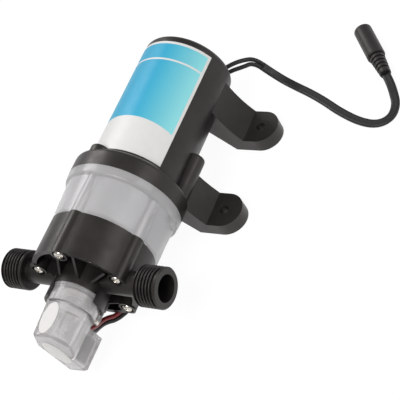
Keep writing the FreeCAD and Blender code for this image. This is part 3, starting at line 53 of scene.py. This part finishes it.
# Viewpoint; its target is in millimetres
CAMERA_AZ = math.radians(50.61)
CAMERA_EL = math.radians(44.84)
CAMERA_ROLL = math.radians(-35.77)
CAMERA_DISTANCE = 603.91 * MM
CAMERA_TARGET = (43.44, -39.8, 35.0)
SENSOR_WIDTH = 36.0
FOCAL_SHARE = 1224.02 / 400

# Threads of the two ports. The ridge keeps a share of its pitch clear at either end
# and rises to its full height over a few steps.
PORT_Y = -91.7 * MM
THREAD_ROOT = 9.25 * MM
THREAD_CREST = 10.32 * MM
THREAD_PITCH = 1.814 * MM
THREAD_X = (36.3 * MM, 46.9 * MM)
THREAD_CLEAR = 0.3
THREAD_STEPS = 64
THREAD_FADE = 10
CUTTER_R = 12.0 * MM
CUTTER_REACH = 0.2 * MM

# Label film; its front band ends in a bow
COVER_R = 25.0 * MM
LABEL_ANGLES = (28.0, 152.0)
LABEL_BORDER = 1.6 * MM
FIELD_REAR_Y = 38.9 * MM
RULE_Y = 28.6 * MM
RULE_HALF = 0.55 * MM
BOW_Y = -9.4 * MM
BOW_DEPTH = -2.7 * MM
BOW_MIDDLE = 91.0
BOW_HALF = 60.0
PALE_ANGLES = (30.0, 84.0)

# Screws: head radius, head height, shank radius and length, in millimetres
HEAD_SCREW = (2.75, 2.0, 1.5, 37.2)
COVER_SCREW = (2.8, 2.0, 1.5, 15.0)
MOTOR_SCREW = (2.6, 1.8, 1.5, 5.0)
LUG_SCREW = (2.8, 1.8, 1.3, 15.0)
SCREW_PITCH_R = 25.3 * MM
SCREW_ANGLES = [90.0 + 72.0 * k for k in range(5)]
SCREW_SEAT_Y = -93.8 * MM
TOWER_PITCH_R = 25.8 * MM
TOWER_SEATS = {-20.0: -12.9 * MM, 200.0: -12.9 * MM, 105.0: -34.4 * MM}
MOTOR_SCREW_PITCH_R = 14.5 * MM
MOTOR_SCREW_ANGLES = (0.0, 180.0)
MOTOR_SCREW_SEAT_Y = -47.8 * MM
LUG_ANGLE = -65.0
LUG_PITCH_R = 13.6 * MM
LUG_SEAT_Y = -108.3 * MM

# Spring of the pressure switch
SPRING_R = 4.6 * MM
SPRING_WIRE_R = 0.4 * MM
SPRING_TURNS = 9
SPRING_Y = (-128.35 * MM, -105.5 * MM)
SPRING_STEPS = 40
SPRING_SIDES = 12

# Wires and the twin cable; the routes are in millimetres
WIRE_R = 1.2 * MM
TWIN_OFFSET = 1.2 * MM
TWIN_SIDES = 24
TWIN_SQUASH = 0.98
WEB_SHARE = 0.3
WEB_HALF = 0.80 * WIRE_R
RED_ROUTE = [(2.5, -113.0, 21.5), (2.3, -110.9, 20.2), (1.2, -107.4, 15.8), (0.1, -103.2, 12.8),
             (0.3, -99.1, 10.0), (2.4, -95.0, 6.0), (4.0, -86.0, 4.4), (4.0, -76.0, 4.2),
             (3.6, -66.5, 3.9), (2.6, -51.5, 2.7), (2.6, -37.5, 2.9), (2.6, -25.5, 8.3),
             (2.6, -8.5, 9.8), (2.6, 8.0, 9.6), (2.6, 21.5, 9.9), (2.6, 27.5, 12.0), (2.0, 31.6, 16.7)]
BLACK_ROUTE = [(3.0, -113.0, 18.6), (1.8, -111.8, 16.9), (-0.3, -108.9, 13.0), (-1.0, -104.7, 10.4),
               (-0.5, -100.4, 7.7), (1.7, -96.0, 3.3), (6.0, -87.2, 2.0), (6.7, -76.0, 3.3),
               (6.2, -66.0, 3.3), (5.2, -51.0, 2.8), (5.2, -37.0, 3.1), (5.2, -25.0, 8.5),
               (5.2, -8.0, 10.1), (5.2, 8.5, 9.9), (5.2, 21.5, 10.2), (5.2, 27.5, 12.3), (6.0, 31.6, 17.0)]
LEAD_A_ROUTE = [(12.0, 43.2, 26.0), (12.6, 48.4, 26.5), (17.5, 53.5, 26.9), (22.6, 58.8, 25.0),
                (26.2, 64.5, 19.9), (29.5, 64.25, 15.6)]
LEAD_B_ROUTE = [(12.0, 41.6, 22.5), (12.7, 48.2, 23.1), (17.2, 52.6, 23.3), (22.4, 57.4, 21.2),
                (26.0, 61.8, 19.5), (29.35, 61.75, 15.6)]
TWIN_ROUTE = [(29.5, 63.0, 15.5), (36.5, 62.5, 6.5), (46.5, 60.2, 1.7), (56.0, 56.4, 1.3),
              (67.0, 50.9, 1.3), (78.3, 44.3, 1.3), (92.0, 38.2, 1.3), (102.7, 36.7, 1.3),
              (109.0, 41.6, 1.3), (109.0, 50.1, 1.4), (105.8, 56.7, 2.7), (102.6, 62.3, 5.0),
              (98.6, 67.4, 5.0)]

# Floor and sky; where they are seen they are white
FLOOR_HALF = 3.0
FLOOR_GAP = 0.4 * MM
FLOOR_GLOW = 1.02
FLOOR_SEEN = 0.93
SKY_LIGHT = 0.28
SKY_MIRRORED = 0.2


def point(x, y, z):
    return Vector((x * MM, y * MM, z * MM))


def radial(r, degrees, y):
    """Point at a radius and an angle about the pump's axis."""
    t = math.radians(degrees)
    return Vector((r * math.cos(t), y, AXIS_Z + r * math.sin(t)))


def set_camera():
    """Viewpoint of the photograph, rolled so that the pump leans over."""
    bpy.context.scene.view_settings.view_transform = "Standard"
    back = Vector((math.sin(CAMERA_AZ) * math.cos(CAMERA_EL),
                   -math.cos(CAMERA_AZ) * math.cos(CAMERA_EL), math.sin(CAMERA_EL)))
    level = Vector((math.cos(CAMERA_AZ), math.sin(CAMERA_AZ), 0))
    upright = back.cross(level)
    right = math.cos(CAMERA_ROLL) * level + math.sin(CAMERA_ROLL) * upright
    up = -math.sin(CAMERA_ROLL) * level + math.cos(CAMERA_ROLL) * upright
    data = bpy.data.cameras.new("camera")
    data.sensor_width = SENSOR_WIDTH
    data.lens = FOCAL_SHARE * SENSOR_WIDTH
    data.clip_start = 0.01
    camera = place_loose("camera", data)
    turn = Matrix((right, up, back)).transposed().to_4x4()
    camera.matrix_world = Matrix.Translation(point(*CAMERA_TARGET) + back * CAMERA_DISTANCE) @ turn
    bpy.context.scene.camera = camera


def place_loose(name, data):
    """Object in the scene that rides on no body."""
    obj = bpy.data.objects.new(name, data)
    bpy.context.scene.collection.objects.link(obj)
    return obj


def place_on_pump(name, data):
    """Object that rides on the pump's fixed body."""
    obj = place_loose(name, data)
    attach(obj, "pump")
    return obj


def mesh_from(name, bm):
    """Mesh data from bm, which is freed."""
    data = bpy.data.meshes.new(name)
    bm.to_mesh(data)
    bm.free()
    return data


def mesh_object(name, bm):
    """Smooth mesh from bm that rides on the pump's fixed body."""
    data = mesh_from(name, bm)
    for face in data.polygons:
        face.use_smooth = True
    return place_on_pump(name, data)


def wear(obj, material):
    """Give the whole object one material."""
    obj.data.materials.clear()
    obj.data.materials.append(material)


def scaled(colour, share):
    return tuple(c * share for c in colour)


class Nodes:
    """Helpers that add nodes to one tree; a value is a plain number or another node's output."""

    def __init__(self, tree):
        self.tree = tree

    def node(self, kind, **values):
        made = self.tree.nodes.new(kind)
        for key, value in values.items():
            setattr(made, key, value)
        return made

    def join(self, out, into):
        self.tree.links.new(out, into)

    def put(self, value, socket):
        if isinstance(value, bpy.types.NodeSocket):
            self.join(value, socket)
        else:
            socket.default_value = value

    def math(self, operation, *values):
        made = self.node("ShaderNodeMath", operation=operation)
        for socket, value in zip(made.inputs, values):
            self.put(value, socket)
        return made.outputs[0]

    def span(self, value, low, high, out_low, out_high):
        """Map low..high to out_low..out_high, clamped."""
        made = self.node("ShaderNodeMapRange")
        names = ("Value", "From Min", "From Max", "To Min", "To Max")
        for name, number in zip(names, (value, low, high, out_low, out_high)):
            self.put(number, made.inputs[name])
        return made.outputs["Result"]


class Shader(Nodes):
    """A Principled material."""

    def __init__(self, name):
        self.material = bpy.data.materials.new(name)
        self.material.use_nodes = True
        super().__init__(self.material.node_tree)
        self.main = self.tree.nodes["Principled BSDF"]

    def set(self, **values):
        """Plain values on the shader's own sockets."""
        for key, value in values.items():
            self.main.inputs[key.replace("_", " ")].default_value = value

    def place(self):
        return self.node("ShaderNodeTexCoord").outputs["Object"]

    def noise(self, scale, detail=4.0):
        made = self.node("ShaderNodeTexNoise")
        made.inputs["Scale"].default_value = scale
        made.inputs["Detail"].default_value = detail
        made.inputs["Roughness"].default_value = 0.55
        self.join(self.place(), made.inputs["Vector"])
        return made.outputs["Fac"]

    def mix(self, factor, a, b):
        """Colour from a to b; each is a plain colour or another node's output."""
        made = self.node("ShaderNodeMix", data_type="RGBA")
        self.join(factor, made.inputs[0])
        for socket, value in ((made.inputs[6], a), (made.inputs[7], b)):
            self.put((*value, 1.0) if isinstance(value, tuple) else value, socket)
        return made.outputs[2]

    def paint(self, factor, a, b):
        self.join(self.mix(factor, a, b), self.main.inputs["Base Color"])

    def patches(self, value):
        """Noise stretched to the full 0..1."""
        return self.span(value, 0.35, 0.7, 0.0, 1.0)

    def gloss(self, value, low, high):
        """Roughness that wanders from low to high with a noise."""
        self.join(self.span(value, 0.3, 0.7, low, high), self.main.inputs["Roughness"])

    def bump(self, height, strength, distance):
        made = self.node("ShaderNodeBump")
        made.inputs["Strength"].default_value = strength
        made.inputs["Distance"].default_value = distance
        self.join(height, made.inputs["Height"])
        self.join(made.outputs["Normal"], self.main.inputs["Normal"])


def moulded(name, dark, light, rough):
    """Black or coloured moulded plastic: fine spark texture, faint flow marks, uneven gloss."""
    s = Shader(name)
    s.paint(s.patches(s.noise(60.0, 3.0)), dark, light)
    s.gloss(s.noise(160.0), rough - 0.05, rough + 0.07)
    s.bump(s.noise(2600.0, 2.0), 0.25, 0.00006)
    s.set(IOR=1.48, Specular_Tint=(1.0, 0.93, 0.89, 1.0))
    return s.material


def metal(name, colour, rough):
    """Bare or plated metal with uneven polish."""
    s = Shader(name)
    s.paint(s.noise(500.0), colour, scaled(colour, 0.82))
    s.gloss(s.noise(900.0), rough - 0.05, rough + 0.05)
    s.bump(s.noise(3000.0, 2.0), 0.08, 0.00003)
    s.set(Metallic=1.0)
    return s.material


def milky(name, tint, clearness, rough):
    """Milky see-through plastic: part transmission, part scatter, faint flow clouds, a glossy skin."""
    s = Shader(name)
    s.paint(s.patches(s.noise(45.0, 2.0)), tint, scaled(tint, 0.93))
    s.gloss(s.noise(110.0, 2.0), rough - 0.03, rough + 0.05)
    s.set(Transmission_Weight=clearness, Coat_Weight=0.3, Coat_Roughness=0.16, IOR=1.30)
    return s.material


def rubbery(name, colour, rough=0.7):
    """Rubber, ferrite or carbon: dull, with a fine grain."""
    s = Shader(name)
    s.paint(s.noise(300.0), colour, scaled(colour, 1.5))
    s.bump(s.noise(1800.0, 3.0), 0.2, 0.00005)
    s.set(Roughness=rough)
    return s.material


def insulation(name, colour, rough):
    """Soft PVC wire cover with slight waviness."""
    s = Shader(name)
    s.paint(s.noise(220.0), colour, scaled(colour, 0.7))
    s.gloss(s.noise(400.0), rough - 0.06, rough + 0.08)
    s.bump(s.noise(900.0, 2.0), 0.12, 0.00006)
    return s.material


def sticker_paper(name):
    s = Shader(name)
    s.paint(s.noise(420.0, 3.0), (0.69, 0.68, 0.675), (0.63, 0.62, 0.62))
    s.bump(s.noise(1500.0, 3.0), 0.1, 0.00004)
    s.set(Roughness=0.55)
    return s.material


def label_film(name):
    """Wrap-round label: white border and front band, blue field that pales toward +X, one rule."""
    s = Shader(name)
    split = s.node("ShaderNodeSeparateXYZ")
    s.join(s.place(), split.inputs[0])
    x, y, z = split.outputs
    angle = s.math("ARCTAN2", s.math("SUBTRACT", z, AXIS_Z), x)
    degrees = s.math("MULTIPLY", angle, 180.0 / math.pi)
    off_middle = s.math("DIVIDE", s.math("SUBTRACT", degrees, BOW_MIDDLE), BOW_HALF)
    bow_y = s.math("MULTIPLY_ADD", s.math("MULTIPLY", off_middle, off_middle), BOW_DEPTH, BOW_Y)
    off_rule = s.math("ABSOLUTE", s.math("SUBTRACT", y, RULE_Y))
    border = math.degrees(LABEL_BORDER / COVER_R)
    field = s.math("GREATER_THAN", off_rule, RULE_HALF)
    for test in (s.math("GREATER_THAN", degrees, LABEL_ANGLES[0] + border),
                 s.math("LESS_THAN", degrees, LABEL_ANGLES[1] - border),
                 s.math("LESS_THAN", y, FIELD_REAR_Y),
                 s.math("GREATER_THAN", y, bow_y)):
        field = s.math("MULTIPLY", field, test)
    deep = s.span(degrees, *PALE_ANGLES, 0.0, 1.0)
    blue = s.mix(deep, (0.25, 0.68, 0.71), (0.010, 0.340, 0.545))
    fibre = s.noise(300.0, 3.0)
    white = s.mix(fibre, (0.69, 0.69, 0.68), (0.64, 0.64, 0.635))
    s.paint(field, white, blue)
    s.gloss(fibre, 0.42, 0.52)
    s.bump(s.noise(180.0, 2.0), 0.05, 0.0001)
    s.set(Coat_Weight=0.05, Coat_Roughness=0.25)
    return s.material


def lathe(bm, profile, base, axis, steps=40):
    """Revolve (radius, height) points about an axis from base, into bm; radius 0 makes a pole."""
    axis = axis.normalized()
    side = axis.orthogonal().normalized()
    other = axis.cross(side)
    rows = []
    for r, h in profile:
        centre = base + axis * h
        if r == 0:
            rows.append([bm.verts.new(centre)])
            continue
        turns = [2 * math.pi * k / steps for k in range(steps)]
        rows.append([bm.verts.new(centre + (side * math.cos(t) + other * math.sin(t)) * r) for t in turns])
    for low, high in zip(rows, rows[1:]):
        for k in range(steps):
            a, b = low[k % len(low)], low[(k + 1) % len(low)]
            c, d = high[(k + 1) % len(high)], high[k % len(high)]
            # Beside a pole two of the four are the same, and the face is a triangle.
            bm.faces.new([v for i, v in enumerate((a, b, c, d)) if v not in (a, b, c, d)[:i]])


def skin(bm, rows):
    """Join rows of vertices into a tube, closed by a face at either end."""
    for low, high in zip(rows, rows[1:]):
        for k in range(len(low)):
            after = (k + 1) % len(low)
            bm.faces.new((low[k], low[after], high[after], high[k]))
    bm.faces.new(list(reversed(rows[0])))
    bm.faces.new(rows[-1])


def sharpen(obj, degrees):
    """Smooth faces with sharp edges beyond an angle."""
    limit = math.radians(degrees)
    bm = bmesh.new()
    bm.from_mesh(obj.data)
    for edge in bm.edges:
        edge.smooth = not (len(edge.link_faces) == 2 and edge.calc_face_angle(0) > limit)
    for face in bm.faces:
        face.smooth = True
    bm.to_mesh(obj.data)
    bm.free()


def cut(obj, tool, self_crossing=False):
    """Boolean difference applied to obj; the tool is removed."""
    modifier = obj.modifiers.new("cut", "BOOLEAN")
    modifier.operation = "DIFFERENCE"
    modifier.solver = "EXACT"
    modifier.use_self = self_crossing
    modifier.object = tool
    bpy.context.view_layer.update()
    result = bpy.data.meshes.new_from_object(obj.evaluated_get(bpy.context.evaluated_depsgraph_get()))
    obj.modifiers.remove(modifier)
    obj.data = result
    bpy.data.objects.remove(tool)


def cross_head(head_r, head_h, shank_r, length):
    """Mesh of a screw with a cross recess in its pan head; the seat is at z 0, the head up."""
    shank = [(0, -length), (0.7 * shank_r, -length), (shank_r, -length + 0.6 * shank_r), (shank_r, 0)]
    pan = [(head_r, 0), (head_r, 0.35 * head_h), (0.93 * head_r, 0.68 * head_h),
           (0.76 * head_r, 0.9 * head_h), (0.5 * head_r, head_h), (0, head_h)]
    bm = bmesh.new()
    lathe(bm, shank + pan, Vector(), UPWARD)
    bmesh.ops.recalc_face_normals(bm, faces=bm.faces)
    screw = place_loose("screw", mesh_from("screw", bm))
    cross = (1.24 * head_r, 0.38 * head_r, 1.3 * head_h, 1)
    bm = bmesh.new()
    for turn in (0, math.pi / 2):
        made = bmesh.ops.create_cube(bm, size=1.0, matrix=Matrix.Rotation(turn, 4, "Z")
                                     @ Matrix.Translation((0, 0, head_h)) @ Matrix.Diagonal(cross))
        low = [v for v in made["verts"] if v.co.z < head_h]
        bmesh.ops.scale(bm, vec=(0.45, 0.45, 1), verts=low)
    cut(screw, place_loose("recess", mesh_from("recess", bm)), self_crossing=True)
    data = screw.data
    bpy.data.objects.remove(screw)
    return data


def screw_set(node, places, outward, sizes, material):
    """Detailed screws in place of a node's plain ones, each with its recess turned another way."""
    master = cross_head(*[size * MM for size in sizes])
    turn = UPWARD.rotation_difference(outward).to_matrix().to_4x4()
    bm = bmesh.new()
    for k, at in enumerate(places):
        spin = Matrix.Rotation(0.5 + 1.3 * k, 4, "Z")
        one = master.copy()
        one.transform(Matrix.Translation(at) @ turn @ spin)
        bm.from_mesh(one)
    screws = mesh_object(node + "_detail", bm)
    sharpen(screws, 35)
    wear(screws, material)
    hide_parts(node)


def thread_cutter(side):
    """Ring that turns the plain port down to the thread's root."""
    low, high = THREAD_X[0] - CUTTER_REACH, THREAD_X[1] + CUTTER_REACH
    section = [(THREAD_ROOT, low), (CUTTER_R, low), (CUTTER_R, high), (THREAD_ROOT, high), (THREAD_ROOT, low)]
    bm = bmesh.new()
    lathe(bm, section, Vector((0, PORT_Y, AXIS_Z)), Vector((side, 0, 0)), 96)
    bmesh.ops.remove_doubles(bm, verts=bm.verts, dist=1e-6)
    bmesh.ops.recalc_face_normals(bm, faces=bm.faces)
    return place_loose("thread_cutter", mesh_from("thread_cutter", bm))


def thread_ridge(bm, side):
    """One helical ridge wound between the port's collar and its mouth, fading out at its ends."""
    turns = (THREAD_X[1] - THREAD_X[0]) / THREAD_PITCH - 2 * THREAD_CLEAR
    count = int(THREAD_STEPS * turns)
    half = THREAD_PITCH / 2
    foot = THREAD_ROOT - 0.1 * MM
    rows = []
    for k in range(count + 1):
        angle = 2 * math.pi * k / THREAD_STEPS
        fade = min(1.0, k / THREAD_FADE, (count - k) / THREAD_FADE)
        x = THREAD_X[0] + THREAD_CLEAR * THREAD_PITCH + THREAD_PITCH * k / THREAD_STEPS
        crest = THREAD_ROOT + 0.02 * MM + (THREAD_CREST - THREAD_ROOT) * fade
        flank = crest - 0.04 * MM
        section = [(-0.86, foot), (-0.24, flank), (-0.12, crest), (0.12, crest), (0.24, flank), (0.86, foot)]
        rows.append([bm.verts.new((side * (x + share * half), PORT_Y + r * math.cos(angle),
                                   AXIS_Z + side * r * math.sin(angle))) for share, r in section])
    skin(bm, rows)


def threaded_head(material):
    """The pump head with its two ports turned down and given real threads."""
    head = place_on_pump("pump_head_threaded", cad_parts["pump_head"].data.copy())
    for side in (-1, 1):
        cut(head, thread_cutter(side))
    sharpen(head, 32)
    wear(head, material)
    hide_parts("pump_head")
    bm = bmesh.new()
    for side in (-1, 1):
        thread_ridge(bm, side)
    bmesh.ops.recalc_face_normals(bm, faces=bm.faces)
    ridges = mesh_object("port_threads", bm)
    wear(ridges, material)


def spline_curve(name, route):
    """Open NURBS curve with the route's points as its control points, each carrying the wire's radius."""
    data = bpy.data.curves.new(name, "CURVE")
    data.dimensions = "3D"
    data.resolution_u = 12
    spline = data.splines.new("NURBS")
    spline.points.add(len(route) - 1)
    for made, at in zip(spline.points, route):
        made.co = (*point(*at), 1.0)
        made.radius = WIRE_R
    spline.order_u = 3
    spline.use_endpoint_u = True
    return data


def centre_line(route):
    """Points read from the route's smooth spline."""
    curve = place_loose("centre_line", spline_curve("centre_line", route))
    bpy.context.view_layer.update()
    mesh = bpy.data.meshes.new_from_object(curve)
    points = [v.co.copy() for v in mesh.vertices]
    bpy.data.objects.remove(curve)
    return points


def path_length(points):
    return sum((b - a).length for a, b in zip(points, points[1:]))


def round_wire(name, route, material, node):
    """A single round wire as a smooth curve in place of its solid."""
    wire = place_on_pump(name, spline_curve(name, route))
    # The bevel's depth multiplies the radius of the points.
    wire.data.bevel_depth = 1.0
    wire.data.bevel_resolution = 5
    wire.data.use_fill_caps = True
    wear(wire, material)
    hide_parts(node)
    path_length(centre_line(route))


def twin_outline():
    """Figure-eight section: two round cores with a flat web between them."""
    outline = []
    for k in range(TWIN_SIDES):
        t = 2 * math.pi * k / TWIN_SIDES
        if abs(math.cos(t)) > WEB_SHARE:
            high = TWIN_SQUASH * WIRE_R * math.sin(t)
            out = math.copysign(TWIN_OFFSET + math.sqrt(WIRE_R ** 2 - high ** 2), math.cos(t))
        else:
            high = math.copysign(WEB_HALF, math.sin(t))
            out = TWIN_OFFSET * math.cos(t) / WEB_SHARE
        outline.append((out, high))
    return outline


def level_sides(tangents):
    """Sideways direction at each point, level at the middle and carried on without twist."""
    middle = len(tangents) // 2
    sides = [UPWARD.cross(tangents[middle]).normalized()] * len(tangents)
    for k in range(middle + 1, len(tangents)):
        sides[k] = tangents[k - 1].rotation_difference(tangents[k]) @ sides[k - 1]
    for k in range(middle - 1, -1, -1):
        sides[k] = tangents[k + 1].rotation_difference(tangents[k]) @ sides[k + 1]
    return sides


def twin_cable(material):
    """Flat twin cable, lying level on the floor."""
    points = centre_line(TWIN_ROUTE)
    tangents = [(b - a).normalized() for a, b in zip(points, points[1:])]
    tangents.append(tangents[-1])
    outline = twin_outline()
    bm = bmesh.new()
    rows = []
    for at, tangent, side in zip(points, tangents, level_sides(tangents)):
        up = tangent.cross(side)
        rows.append([bm.verts.new(at + side * out + up * high) for out, high in outline])
    skin(bm, rows)
    bmesh.ops.recalc_face_normals(bm, faces=bm.faces)
    cable = mesh_object("twin_cable", bm)
    wear(cable, material)
    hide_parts("power_lead")


def coil_spring(material):
    """The switch's return spring as a smooth coil."""
    rise = SPRING_Y[1] - SPRING_Y[0]
    slope = math.atan2(rise / SPRING_TURNS, 2 * math.pi * SPRING_R)
    count = SPRING_STEPS * SPRING_TURNS
    rounds = [2 * math.pi * j / SPRING_SIDES for j in range(SPRING_SIDES)]
    bm = bmesh.new()
    rows = []
    for k in range(count + 1):
        angle = -2 * math.pi * k / SPRING_STEPS
        out = Vector((math.cos(angle), 0, math.sin(angle)))
        along = Vector((math.sin(angle) * math.cos(slope), math.sin(slope),
                        -math.cos(angle) * math.cos(slope)))
        lift = out.cross(along)
        centre = Vector((0, SPRING_Y[0] + rise * k / count, AXIS_Z)) + out * SPRING_R
        rows.append([bm.verts.new(centre + (out * math.cos(t) + lift * math.sin(t)) * SPRING_WIRE_R)
                     for t in rounds])
    skin(bm, rows)
    bmesh.ops.recalc_face_normals(bm, faces=bm.faces)
    coil = mesh_object("coil_spring", bm)
    wear(coil, material)
    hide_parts("pressure_spring")
    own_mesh(coil)


def dress(nodes, material):
    for node in nodes:
        wear(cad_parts[node], material)


def area_light(name, at, aim, size, power, tint=(1, 1, 1)):
    data = bpy.data.lights.new(name, "AREA")
    data.shape = "DISK"
    data.size = size
    data.energy = power
    data.color = tint
    light = place_loose(name, data)
    light.location = at
    light.rotation_euler = (Vector(aim) - Vector(at)).to_track_quat("-Z", "Y").to_euler()


def sky():
    """Soft white light from all round that looks plain white where it is seen."""
    world = bpy.data.worlds.new("studio")
    bpy.context.scene.world = world
    world.use_nodes = True
    n = Nodes(world.node_tree)
    rays = n.node("ShaderNodeLightPath").outputs
    seen = n.math("ADD", rays["Is Camera Ray"], rays["Is Transmission Ray"])
    bright = n.math("MULTIPLY_ADD", rays["Is Glossy Ray"], SKY_MIRRORED, seen)
    background = n.tree.nodes["Background"]
    background.inputs["Color"].default_value = (1, 1, 1, 1)
    n.join(n.span(bright, 0.0, 1.0, SKY_LIGHT, 1.0), background.inputs["Strength"])


def floor_white():
    """Plain white that keeps the object's shadow, and that also shows white where it is seen."""
    s = Shader("floor_white")
    s.set(Roughness=0.9, Base_Color=(0.9, 0.9, 0.9, 1))
    glow = s.node("ShaderNodeEmission")
    glow.inputs["Color"].default_value = (1, 1, 1, 1)
    glow.inputs["Strength"].default_value = FLOOR_GLOW
    rays = s.node("ShaderNodeLightPath").outputs
    mirrored = s.math("ADD", rays["Is Glossy Ray"], rays["Is Transmission Ray"])
    seen = s.math("MINIMUM", s.math("ADD", rays["Is Camera Ray"], mirrored), FLOOR_SEEN)
    both = s.node("ShaderNodeMixShader")
    for out, into in zip((seen, s.main.outputs[0], glow.outputs[0]), both.inputs):
        s.join(out, into)
    s.join(both.outputs[0], s.tree.nodes["Material Output"].inputs["Surface"])
    return s.material


def studio():
    """White floor under a white sky, with a key light, a fill and a rim light."""
    bm = bmesh.new()
    bmesh.ops.create_grid(bm, x_segments=2, y_segments=2, size=FLOOR_HALF)
    floor = place_loose("floor", mesh_from("floor", bm))
    floor.location.z = -FLOOR_GAP
    wear(floor, floor_white())
    sky()
    area_light("key", (0.15, -0.45, 0.75), (0.02, -0.03, 0.03), 0.40, 5.4, (1.0, 0.98, 0.96))
    area_light("fill", (0.75, 0.25, 0.45), (0.02, -0.02, 0.03), 0.5, 1.6, (0.97, 0.98, 1.0))
    area_light("rim", (-0.55, 0.25, 0.55), (0.0, 0.0, 0.04), 0.4, 2.4)


set_camera()

black_cord = insulation("black_cord", (0.005, 0.0045, 0.0045), 0.46)
black_wire = insulation("black_wire", (0.005, 0.0045, 0.0045), 0.42)
red_wire = insulation("red_wire", (0.30, 0.006, 0.010), 0.34)
cover_black = moulded("cover_black", (0.010, 0.009, 0.0085), (0.017, 0.0155, 0.015), 0.38)
head_black = moulded("head_black", (0.009, 0.008, 0.0078), (0.015, 0.0138, 0.0132), 0.38)
jack_black = moulded("jack_black", (0.012, 0.0115, 0.0115), (0.018, 0.017, 0.017), 0.46)
inner_black = moulded("inner_black", (0.03, 0.03, 0.032), (0.04, 0.04, 0.042), 0.5)
inner_white = moulded("inner_white", (0.74, 0.73, 0.70), (0.66, 0.65, 0.63), 0.4)
inner_grey = moulded("inner_grey", (0.33, 0.34, 0.35), (0.29, 0.30, 0.31), 0.45)
switch_grey = moulded("switch_grey", (0.055, 0.06, 0.075), (0.07, 0.075, 0.09), 0.5)
nickel = metal("nickel", (0.70, 0.66, 0.60), 0.24)
zinc = metal("zinc", (0.52, 0.53, 0.56), 0.34)
ground_steel = metal("ground_steel", (0.60, 0.60, 0.61), 0.26)
core_steel = metal("core_steel", (0.30, 0.30, 0.32), 0.42)
bearing_steel = metal("bearing_steel", (0.72, 0.72, 0.73), 0.14)
copper = metal("copper", (0.60, 0.26, 0.12), 0.36)
bronze = metal("bronze", (0.50, 0.34, 0.17), 0.45)
brass = metal("brass", (0.66, 0.48, 0.20), 0.32)
black_rubber = rubbery("black_rubber", (0.022, 0.022, 0.022))
ferrite = rubbery("ferrite", (0.05, 0.05, 0.052), 0.55)
carbon = rubbery("carbon", (0.03, 0.03, 0.031), 0.5)
clear_housing = milky("clear_housing", (0.75, 0.745, 0.76), 0.60, 0.32)
clear_switch = milky("clear_switch", (0.79, 0.775, 0.78), 0.72, 0.20)

round_wire("red_switch_wire", RED_ROUTE, red_wire, "switch_wire_red")
round_wire("black_switch_wire", BLACK_ROUTE, black_wire, "switch_wire_black")
round_wire("first_lead_wire", LEAD_A_ROUTE, black_cord, "lead_wire_a")
round_wire("second_lead_wire", LEAD_B_ROUTE, black_cord, "lead_wire_b")
twin_cable(black_cord)
coil_spring(ground_steel)

dress(["motor_cover"], cover_black)
dress(["motor_label"], label_film("label_film"))
dress(["eccentric_housing"], clear_housing)
dress(["switch_neck", "switch_cap"], clear_switch)
dress(["switch_stickers"], sticker_paper("sticker_paper"))
dress(["jack_body"], jack_black)
dress(["jack_sleeve", "jack_pin"], nickel)
dress(["motor_can"], zinc)
dress(["motor_end_cap", "bearing_cage"], inner_black)
dress(["microswitch_body"], switch_grey)
dress(["front_bush", "rear_bush"], bronze)
dress(["motor_magnets"], ferrite)
dress(["brushes"], carbon)
dress(["brush_arms"], brass)
dress(["motor_shaft", "eccentric_hub", "hub_grub_screw"], ground_steel)
dress(["armature_core"], core_steel)
dress(["armature_windings", "commutator"], copper)
dress(["bearing_inner_ring", "bearing_outer_ring", "bearing_balls"], bearing_steel)
dress(["wobble_plate", "piston_pads", "microswitch_button", "plunger"], inner_white)
dress(["valve_plate", "wire_splices"], inner_grey)
dress(["diaphragm", "inlet_valves", "outlet_valve", "head_gasket", "switch_seal"], black_rubber)
dress(["inner_leads"], black_wire)

threaded_head(head_black)
screw_set("head_screws", [radial(SCREW_PITCH_R, a, SCREW_SEAT_Y) for a in SCREW_ANGLES],
          TOWARD_HEAD, HEAD_SCREW, nickel)
screw_set("cover_screws", [radial(TOWER_PITCH_R, a, y) for a, y in TOWER_SEATS.items()],
          -TOWARD_HEAD, COVER_SCREW, nickel)
screw_set("motor_screws", [radial(MOTOR_SCREW_PITCH_R, a, MOTOR_SCREW_SEAT_Y) for a in MOTOR_SCREW_ANGLES],
          TOWARD_HEAD, MOTOR_SCREW, nickel)
screw_set("switch_screw", [radial(LUG_PITCH_R, LUG_ANGLE, LUG_SEAT_Y)], TOWARD_HEAD, LUG_SCREW, nickel)

studio()
